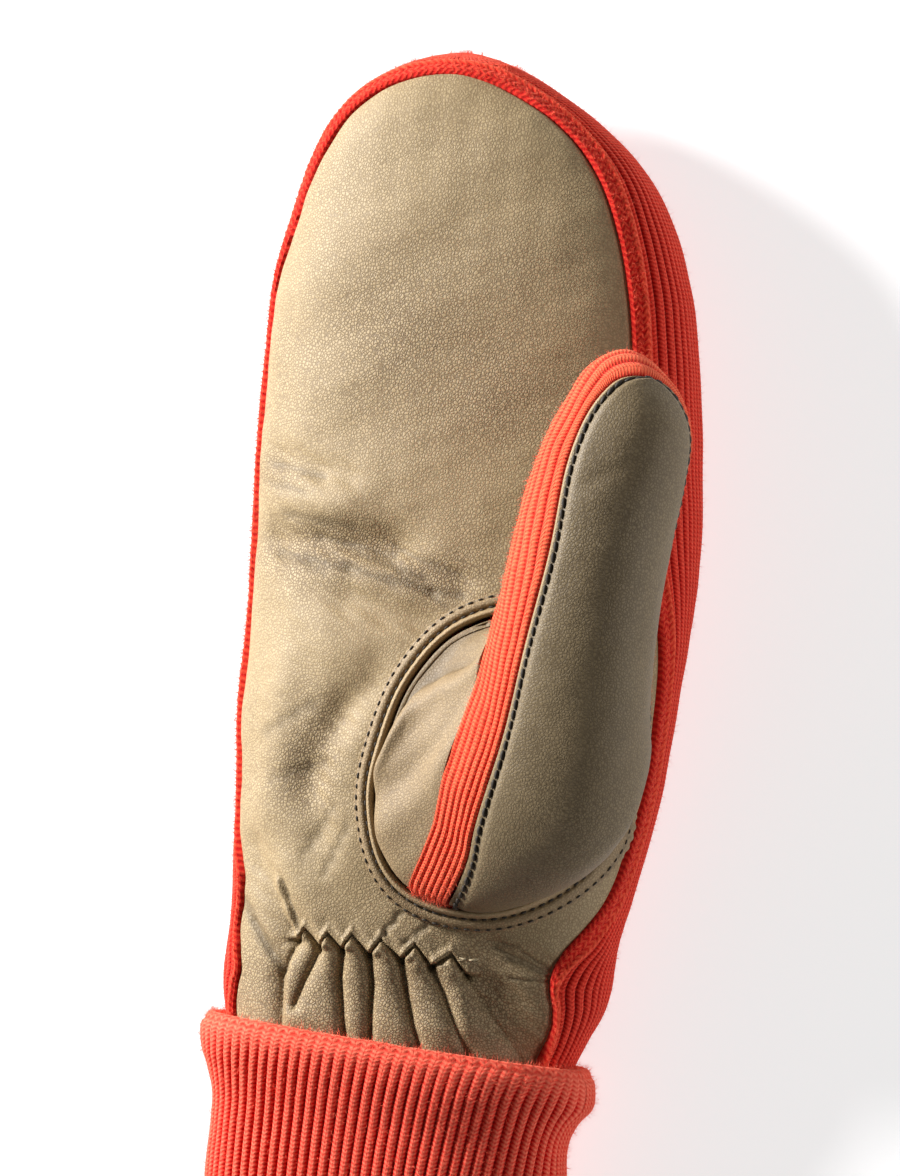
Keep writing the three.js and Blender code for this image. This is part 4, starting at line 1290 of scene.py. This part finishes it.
def makeGusset():
    step = thumb["step"]
    at, turn = thumbGrid(gussetRows, thumb["gussetColumns"], thumb["seamOut"])
    surface = thumbPoint(at, turn)
    sideways = edgeDistance(surface)
    swell = 0.20 * noiseField(surface, 20, 41) + 0.05 * noiseField(surface, 7, 43)
    angle = turn / degree
    past = angle - np.interp(at, gussetFold["at"], gussetFold["angle"])
    window = smooth((at - 0.25) / 0.5) * smooth((3.9 - at) / 0.8)
    pocket = smooth(past / 6) * (1 - smooth((angle - gusset["pocketEnd"]) / 25))
    brow = gusset["browHeight"] * np.exp(-((past + 7) / 6.5) ** 2)
    ridges = 0.6 * np.exp(-((angle - gusset["outerRidge"]) / 7) ** 2)
    ridges = ridges - 0.7 * np.exp(-((angle - gusset["innerRidge"]) / 6) ** 2)
    ridges *= smooth(at / 0.8) * smooth((3.4 - at) / 1.5)
    nearStrip = 0.12 + 0.38 * smooth((angle - gusset["stripSide"]) / 30)
    edgeDown = nearStrip * np.exp(-(sideways / 0.8) ** 2)
    rootDip = 0.6 * np.exp(-(at / 0.3) ** 2)
    fold = window * (brow - gusset["pocketDepth"] * pocket * smooth((at - 0.5) / 0.5))
    offset = swell + ridges + fold - edgeDown - rootDip
    outer = thumbSurface(at, turn, offset)
    inner = thumbSurface(at, turn, np.minimum(offset, 0) - size["thumbWall"])
    ring = holePoint(turn, 0 * turn, 0 * turn)[..., 2]
    sunk = gusset["sunk"] * pocket * smooth((at + 0.1) / 0.2) * (1 - smooth((at - 0.7) / 1.5))
    tucked = pocket * (1 - smooth((at - 1.2) / 1.2))
    for layer, thick in ((outer, 0), (inner, size["thumbWall"])):
        layer[..., 2] -= sunk * np.maximum(layer[..., 2] - ring, 0)
        fromHole = layer[..., :2] - np.array([size["thumbHoleX"], size["thumbHoleY"]])
        reach = np.hypot(fromHole[..., 0], fromHole[..., 1])
        edge = size["thumbHoleReach"] * holeReach(np.arctan2(-fromHole[..., 1], fromHole[..., 0]))
        most = edge - gusset["holeMargin"] - thick - gusset["tuckByPlace"] * np.maximum(at, 0)
        kept = np.minimum(reach, most) / reach
        layer[..., :2] -= fromHole * (tucked * (1 - kept))[..., None]
    # A painted shadow under the bulge's brow, and painted shade over the pocket below the welt.
    shadow = window * np.exp(-((past - 6) / 5) ** 2)
    marks = {"paintedShade": 0.35 * shadow + 0.5 * pocket * smooth((3 - at) / 1.5), "rim": 0 * at}
    piece = wall("thumb_gusset_skin", outer, inner[::step, ::step], step, marks, gussetFinish)
    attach(piece, "root")
    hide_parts("thumb_gusset")


def makeStrip():
    rows, columns, step = thumb["stripRows"], thumb["stripColumns"], thumb["stripStep"]
    half = evenThumb(panelRows, rows // 2 + 1)
    share = np.concatenate([half, half[::-1][1:]])
    farSide = np.arange(rows + 1) <= rows // 2
    panelLow, panelHigh, gussetLow, gussetHigh = (
        thumbEdge(edges, share, side, thumb["seamOut"])
        for edges in (panelRows, gussetRows) for side in ("low", "high"))
    fromAt = np.where(farSide, panelLow[0], panelHigh[0])[:, None]
    fromTurn = np.where(farSide, panelLow[1], panelHigh[1])[:, None]
    toAt = np.where(farSide, gussetHigh[0], gussetLow[0])[:, None]
    toTurn = np.where(farSide, gussetHigh[1] - full, gussetLow[1])[:, None]
    across = np.linspace(0, 1, columns + 1)[None, :]
    overTip = smooth((share[:, None] - 0.6) / 0.2)

    def flat(at, turn):
        return (thumbTip - at) * np.cos(turn), (thumbTip - at) * np.sin(turn)

    starts, ends = flat(fromAt, fromTurn), flat(toAt, toTurn)
    rounds = flat(mix(fromAt, toAt, across), mix(fromTurn, toTurn, across))
    u, v = (mix(rounds[k], mix(starts[k], ends[k], across), overTip) for k in (0, 1))
    at, turn = thumbTip - np.hypot(u, v), np.arctan2(v, u)
    surface = thumbPoint(at, turn)
    count = across * thumb["wales"] + 0 * at
    ridge = ribProfile(count, thumb["ribPower"])
    offset = thumb["stripLift"] + thumb["ribDepth"] * (ridge - 1) + 0.12 * noiseField(surface, 12, 53)
    normal = thumbNormal(at, turn)
    outer = surface + normal * offset[..., None]
    inner = thumbSurface(at, turn, 0 * at - size["thumbKnitWall"])[::step, ::step]
    travel = travelAlong(surface[:, columns // 2])
    uv = np.stack([count, (travel / thumb["course"])[:, None] + 0 * count], axis=-1)
    # Darker in the grooves between ribs: painted shade.
    marks = {"grooveAndShade": 0.8 * (1 - ridge)}
    piece = wall("thumb_strip_knit", outer, inner, step, marks, thumbWool, uv=uv)
    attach(piece, "root")
    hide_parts("thumb_knit_strip")
    fuzzSites.append((outer, normal, thumb["fuzzScale"]))


panelOuter = makePanel()
makeGusset()
makeStrip()


# Leather welt round the thumb hole

# The two rows of stitches stand at shares of the welt's width and pull its section down there.
welt = {
    "around": 432,
    "pitch": 2.2,
    "overHole": 0.1,
    "outerRow": 0.92,
    "outerLift": 1.02,
    "innerRow": 0.41,
    "innerLift": 1.24,
    "pull": 0.3,
    "stitch": {"length": 1.5, "thickness": 0.58, "uneven": 0.25, "seed": 7},
}

weltSection = table(
    "share lift",
    (0.00, 0.25),
    (0.03, 0.78),
    (0.08, 1.00),
    (0.14, 1.12),
    (0.20, 1.14),
    (0.26, 1.06),
    (0.32, 0.84),
    (0.37, 0.52),
    (0.42, 0.36),
    (0.50, 0.52),
    (0.58, 0.60),
    (0.66, 0.62),
    (0.74, 0.58),
    (0.80, 0.50),
    (0.85, 0.42),
    (0.90, 0.34),
    (0.95, 0.30),
    (1.00, 0.18),
    (1.03, 0.05),
    (1.03, -0.10),
)


def makeWelt():
    turn = np.linspace(0, full, welt["around"], endpoint=False)
    line = holePoint(turn, size["holeGap"] + 2, 0)
    travel = np.cumsum(np.linalg.norm(line - np.roll(line, 1, axis=0), axis=1))
    stitches = round(travel[-1] / welt["pitch"])
    shares = weltSection["share"]
    phase = travel / travel[-1] * stitches * full
    tuck = np.exp(-((shares[None, :] - welt["outerRow"]) / 0.07) ** 2)
    tuck = tuck + np.exp(-((shares[None, :] - welt["innerRow"]) / 0.06) ** 2)
    scallop = tuck * (0.5 + 0.5 * np.cos(phase))[:, None]
    reach = size["holeGap"] - welt["overHole"] + size["weltWidth"] * shares[None, :]
    reach = reach + 0.12 * np.cos(phase)[:, None] * (shares > 0.95)[None, :]
    tall = size["weltWall"] + size["weltRidge"]
    lift = size["seamGap"] + tall * weltSection["lift"][None, :] - welt["pull"] * scallop
    turnGrid = turn[:, None] + 0 * reach
    outer = np.transpose(holePoint(turnGrid, reach, lift), (1, 0, 2))
    inner = outer.copy()
    inner[..., 2] = holePoint(turnGrid, reach, -0.1 + 0 * turnGrid)[..., 2].T - 0.15
    # Darker where the stitches pinch the welt down: painted shade.
    paintedShade = np.clip(0.55 * scallop + 0.10 * tuck, 0, 1).T
    # Lighter along the piping's rounded crest: painted highlight.
    paintedHighlight = 0.45 * np.exp(-((shares[:, None] - 0.17) / 0.13) ** 2) + 0 * paintedShade
    piece = wall("thumb_welt_skin", outer, inner, 1, {"paintedShade": paintedShade, "rim": paintedHighlight}, weltFinish, wraps=True)
    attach(piece, "root")
    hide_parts("thumb_welt")
    return stitches


weltStitches = makeWelt()


# Stitches, one tree that lays a thread bead on each point

def stitchTree(name):
    tree = bpy.data.node_groups.new(name, "GeometryNodeTree")
    sockets = (("Geometry", "Geometry"), ("Length", "Float"), ("Thickness", "Float"),
               ("Unevenness", "Float"), ("Seed", "Int"), ("Thread", "Material"))
    for label, kind in sockets:
        tree.interface.new_socket(label, in_out="INPUT", socket_type="NodeSocket" + kind)
    tree.interface.new_socket("Geometry", in_out="OUTPUT", socket_type="NodeSocketGeometry")
    nodes, links = tree.nodes, tree.links
    start = nodes.new("NodeGroupInput")
    bead = add(tree, "GeometryNodeMeshUVSphere", Segments=8, Rings=7, Radius=0.5)
    sizes = nodes.new("ShaderNodeCombineXYZ")
    for slot, label in enumerate(("Length", "Thickness", "Thickness")):
        links.new(start.outputs[label], sizes.inputs[slot])
    shape = nodes.new("GeometryNodeTransform")
    links.new(bead.outputs["Mesh"], shape.inputs["Geometry"])
    links.new(sizes.outputs[0], shape.inputs["Scale"])
    smoothed = nodes.new("GeometryNodeSetShadeSmooth")
    links.new(shape.outputs[0], smoothed.inputs["Geometry"])
    aim = nodes.new("GeometryNodeInputNamedAttribute")
    aim.data_type = "FLOAT_VECTOR"
    aim.inputs["Name"].default_value = "facing"
    chance = nodes.new("FunctionNodeRandomValue")
    chance.data_type = "FLOAT"
    ranges = {s.name: s for s in chance.inputs if s.enabled}
    links.new(maths(tree, "SUBTRACT", 1, start.outputs["Unevenness"]), ranges["Min"])
    ranges["Max"].default_value = 1
    links.new(start.outputs["Seed"], ranges["Seed"])
    lay = nodes.new("GeometryNodeInstanceOnPoints")
    links.new(start.outputs["Geometry"], lay.inputs["Points"])
    links.new(smoothed.outputs[0], lay.inputs["Instance"])
    links.new(next(s for s in aim.outputs if s.enabled), lay.inputs["Rotation"])
    links.new(next(s for s in chance.outputs if s.enabled), lay.inputs["Scale"])
    real = nodes.new("GeometryNodeRealizeInstances")
    links.new(lay.outputs[0], real.inputs[0])
    painted = nodes.new("GeometryNodeSetMaterial")
    links.new(real.outputs[0], painted.inputs["Geometry"])
    links.new(start.outputs["Thread"], painted.inputs["Material"])
    links.new(painted.outputs[0], nodes.new("NodeGroupOutput").inputs[0])
    return tree


# Thread beads at points in mm, each along its tangent, on a surface with that normal.
def layStitches(name, points, tangents, normals, style):
    across = unit(np.cross(normals, tangents))
    above = unit(np.cross(tangents, across))
    turned = [tuple(Matrix(np.stack(axes, axis=1).tolist()).to_euler())
              for axes in zip(unit(tangents), across, above)]
    mesh = meshOf(name, points, [])
    layer = mesh.attributes.new("facing", "FLOAT_VECTOR", "POINT")
    layer.data.foreach_set("vector", np.array(turned, dtype=np.float32).ravel())
    piece = linked(name, mesh)
    tree = stitchTree(name + "_tree")
    modifier = piece.modifiers.new("stitches", "NODES")
    modifier.node_group = tree
    values = {"Length": style["length"] * millimetre, "Thickness": style["thickness"] * millimetre,
              "Unevenness": style["uneven"], "Seed": style["seed"], "Thread": darkThread}
    for item in tree.interface.items_tree:
        if item.in_out == "INPUT" and item.name in values:
            modifier[item.identifier] = values[item.name]
    graph = bpy.context.evaluated_depsgraph_get()
    graph.update()
    made = bpy.data.meshes.new_from_object(piece.evaluated_get(graph))
    piece.modifiers.remove(modifier)
    piece.data = made
    made.name = name
    if not made.materials:
        made.materials.append(darkThread)
    print(name, len(points), "stitches,", len(made.polygons), "faces")
    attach(piece, "root")
    return piece


# Evenly spaced points on a line of points, with its direction at each.
def alongLine(line, pitch):
    travelled = travelAlong(line)
    stops = np.arange(0.5 * pitch, travelled[-1] - 0.3 * pitch, pitch)
    ahead, behind = (pointsAt(stops + step, travelled, line) for step in (0.4, -0.4))
    return pointsAt(stops, travelled, line), unit(ahead - behind)


def ringStitches(name, share, lift):
    turn = np.linspace(0, full, 1441)
    reach = size["holeGap"] - welt["overHole"] + size["weltWidth"] * share
    line = holePoint(turn, reach + 0 * turn, lift + 0 * turn)
    travelled = travelAlong(line)
    stops = (np.arange(weltStitches) + 0.5) / weltStitches * travelled[-1]
    points = pointsAt(stops, travelled, line)
    tangents = unit(pointsAt(stops + 0.3, travelled, line) - points)
    up = np.tile(np.array([0.0, 0.0, 1.0]), (len(points), 1))
    piece = layStitches(name, points, tangents, up, welt["stitch"])


ringStitches("welt_stitches_outer", welt["outerRow"], welt["outerLift"])
ringStitches("welt_stitches_inner", welt["innerRow"], welt["innerLift"])

panelSeam = {"pitch": 2.4, "lift": 0.20, "skew": 0.22,
             "stitch": {"length": 2.5, "thickness": 1.1, "uneven": 0.2, "seed": 9}}


def panelStitches():
    rows, columns = panelOuter.shape[:2]
    fromLow = travelAcross(panelOuter)
    reach = thumb["seamReach"]
    high, low = [], []
    for run, points in zip(fromLow, panelOuter):
        if run[-1] < 2 * reach + 1.0:
            break
        low.append(pointsAt(reach, run, points))
        high.append(pointsAt(run[-1] - reach, run, points))
    points, tangents = alongLine(np.array(high + low[::-1]), panelSeam["pitch"])
    normals = []
    for p in points:
        near = np.argmin(np.linalg.norm(panelOuter.reshape(-1, 3) - p, axis=1))
        i, j = divmod(near, columns)
        i0, i1 = max(i - 1, 0), min(i + 1, rows - 1)
        j0, j1 = max(j - 1, 0), min(j + 1, columns - 1)
        n = np.cross(panelOuter[i1, j] - panelOuter[i0, j], panelOuter[i, j1] - panelOuter[i, j0])
        normals.append(n / max(np.linalg.norm(n), 1e-9))
    normals = np.array(normals)
    skewed = unit(tangents + panelSeam["skew"] * np.cross(normals, tangents))
    lifted = points + panelSeam["lift"] * normals
    piece = layStitches("thumb_panel_stitches", lifted, skewed, normals, panelSeam["stitch"])


panelStitches()


# Knotted thread ends at the end of the pleated elastic

tuft = {"x": 18.6, "y": -86.8, "ends": 9, "sides": 6, "stops": 8, "seed": 19}


def makeTuft():
    picker = np.random.default_rng(tuft["seed"])
    base = palmHeight(tuft["x"], tuft["y"]) - 0.6
    points, faces = [], []
    for number in range(tuft["ends"]):
        heading = picker.uniform(-0.7, 0.7) + (0 if number % 3 else math.pi)
        length = picker.uniform(1.4, 3.0)
        bow = picker.uniform(0.5, 1.2)
        thick = picker.uniform(0.11, 0.2)
        sway = picker.normal(scale=0.35, size=3)
        along = np.linspace(0, 1, tuft["stops"])
        line = np.stack([tuft["x"] + length * along * math.cos(heading) + sway[0] * along ** 2,
                         tuft["y"] + length * along * math.sin(heading) * 0.6 + sway[1] * along ** 2,
                         base + bow * np.sin(np.pi * np.minimum(along * 1.1, 1)) + 0.2], axis=-1)
        aim = unit(np.gradient(line, axis=0))
        side = unit(np.cross(aim, (0.0, 0.0, 1.0)))
        above = np.cross(side, aim)
        turns = np.arange(tuft["sides"]) / tuft["sides"] * full
        width = thick * (1 - 0.45 * along)
        ringed = line[:, None] + width[:, None, None] * (
            side[:, None] * np.cos(turns)[None, :, None] + above[:, None] * np.sin(turns)[None, :, None])
        start = sum(len(p) for p in points)
        points.append(ringed.reshape(-1, 3))
        grid = quads(tuft["stops"], tuft["sides"], True, False, None, start).tolist()
        last = start + (tuft["stops"] - 1) * tuft["sides"]
        caps = [[start + k for k in range(tuft["sides"])], [last + k for k in range(tuft["sides"])][::-1]]
        faces += grid + caps
    mesh = meshOf("thread_tuft", np.concatenate(points), faces)
    work = bmesh.new()
    work.from_mesh(mesh)
    bmesh.ops.recalc_face_normals(work, faces=work.faces)
    work.to_mesh(mesh)
    work.free()
    mesh.shade_smooth()
    mesh.materials.append(paleThread)
    piece = linked("thread_tuft", mesh)
    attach(piece, "root")
    print("thread_tuft", len(mesh.polygons), "faces")


makeTuft()


# Loose wool fibres that stand off the knit

fuzz = {"perPiece": (17000, 7000, 17000, 6500), "length": (0.6, 1.9), "width": 0.032, "seed": 61}


def makeFuzz():
    picker = np.random.default_rng(fuzz["seed"])
    points, faces = [], []
    for number, (outer, normal, scale) in enumerate(fuzzSites):
        count = fuzz["perPiece"][number] // 1
        rows, columns = outer.shape[:2]
        i = picker.integers(1, rows - 1, count)
        j = picker.integers(0, columns, count)
        root = outer[i, j]
        up = normal[i, j]
        side = unit(np.cross(up, picker.normal(size=(count, 3))))
        lay = picker.uniform(0.3, 1.3, count)[:, None]
        aim = unit(up + side * lay)
        curl = unit(np.cross(aim, side) + picker.normal(scale=0.6, size=(count, 3)))
        length = (picker.uniform(*fuzz["length"], count) * scale)[:, None]
        stops = [root - up * 0.1, root + aim * length * 0.5 + curl * length * 0.12,
                 root + aim * length + curl * length * 0.45]
        width = fuzz["width"]
        strip = []
        for stop, wide in zip(stops, (1.0, 0.8, 0.15)):
            strip += [stop - curl * width * wide, stop + curl * width * wide]
        block = np.stack(strip, axis=1)
        block[..., 2] = np.maximum(block[..., 2], 0.02)
        start = sum(len(p) for p in points)
        points.append(block.reshape(-1, 3))
        base = start + np.arange(count)[:, None] * 6
        faces.append(np.concatenate([base + np.array([[0, 1, 3, 2]]), base + np.array([[2, 3, 5, 4]])]))
    mesh = meshOf("wool_fuzz", np.concatenate(points), np.concatenate(faces).tolist())
    mesh.materials.append(fuzzWool)
    piece = linked("wool_fuzz", mesh)
    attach(piece, "root")
    print("wool_fuzz", len(mesh.polygons), "faces")


makeFuzz()


# Camera, floor and light

view = {"turn": 15 * degree, "roll": 3.74 * degree, "distance": 3.0, "frameHeight": 0.2587,
        "target": (0.00406, -0.00592, 0.020)}


def makeCamera():
    backward = Vector((math.sin(view["turn"]), 0, math.cos(view["turn"])))
    flatRight = Vector((math.cos(view["turn"]), 0, -math.sin(view["turn"])))
    upward = Vector((0, 1, 0))
    right = flatRight * math.cos(view["roll"]) + upward * math.sin(view["roll"])
    up = upward * math.cos(view["roll"]) - flatRight * math.sin(view["roll"])
    data = bpy.data.cameras.new("camera")
    data.sensor_fit = "VERTICAL"
    data.sensor_height = 24
    data.lens = 24 * view["distance"] / view["frameHeight"]
    data.clip_end = 50
    camera = linked("camera", data)
    spot = Vector(view["target"]) + backward * view["distance"]
    turned = Matrix((right, up, backward)).transposed().to_4x4()
    camera.matrix_world = Matrix.Translation(spot) @ turned
    bpy.context.scene.camera = camera


def softLight(name, spot, target, width, power):
    data = bpy.data.lights.new(name, "AREA")
    data.shape = "DISK"
    data.size = width
    data.energy = power
    lamp = linked(name, data)
    aim = (Vector(target) - Vector(spot)).to_track_quat("-Z", "Y")
    lamp.matrix_world = Matrix.Translation(spot) @ aim.to_matrix().to_4x4()


def makeFloor():
    mesh = bpy.data.meshes.new("floor")
    reach = 6.0
    corners = [(-reach, -reach, 0), (reach, -reach, 0), (reach, reach, 0), (-reach, reach, 0)]
    mesh.from_pydata(corners, [], [(0, 1, 2, 3)])
    material, _, shader = nodesOf("floor_paper")
    setSockets(shader, {"Base Color": (0.6, 0.6, 0.6, 1), "Roughness": 0.9, "Emission Color": (1, 1, 1, 1),
                        "Emission Strength": 0.68})
    mesh.materials.append(material)
    linked("floor", mesh)


def makeWorld():
    world = bpy.data.worlds.new("studio")
    world.use_nodes = True
    sky = next(node for node in world.node_tree.nodes if node.type == "BACKGROUND")
    sky.inputs["Color"].default_value = (1, 1, 1, 1)
    sky.inputs["Strength"].default_value = 0.14
    bpy.context.scene.world = world
    bpy.context.scene.view_settings.view_transform = "Standard"


makeCamera()
makeFloor()
makeWorld()
softLight("key", (-1.55, 0.64, 0.68), (0, 0, 0.03), 0.45, 92)
softLight("fill", (1.5, -0.25, 0.42), (0.05, 0, 0.05), 0.5, 7)
print("stage made")
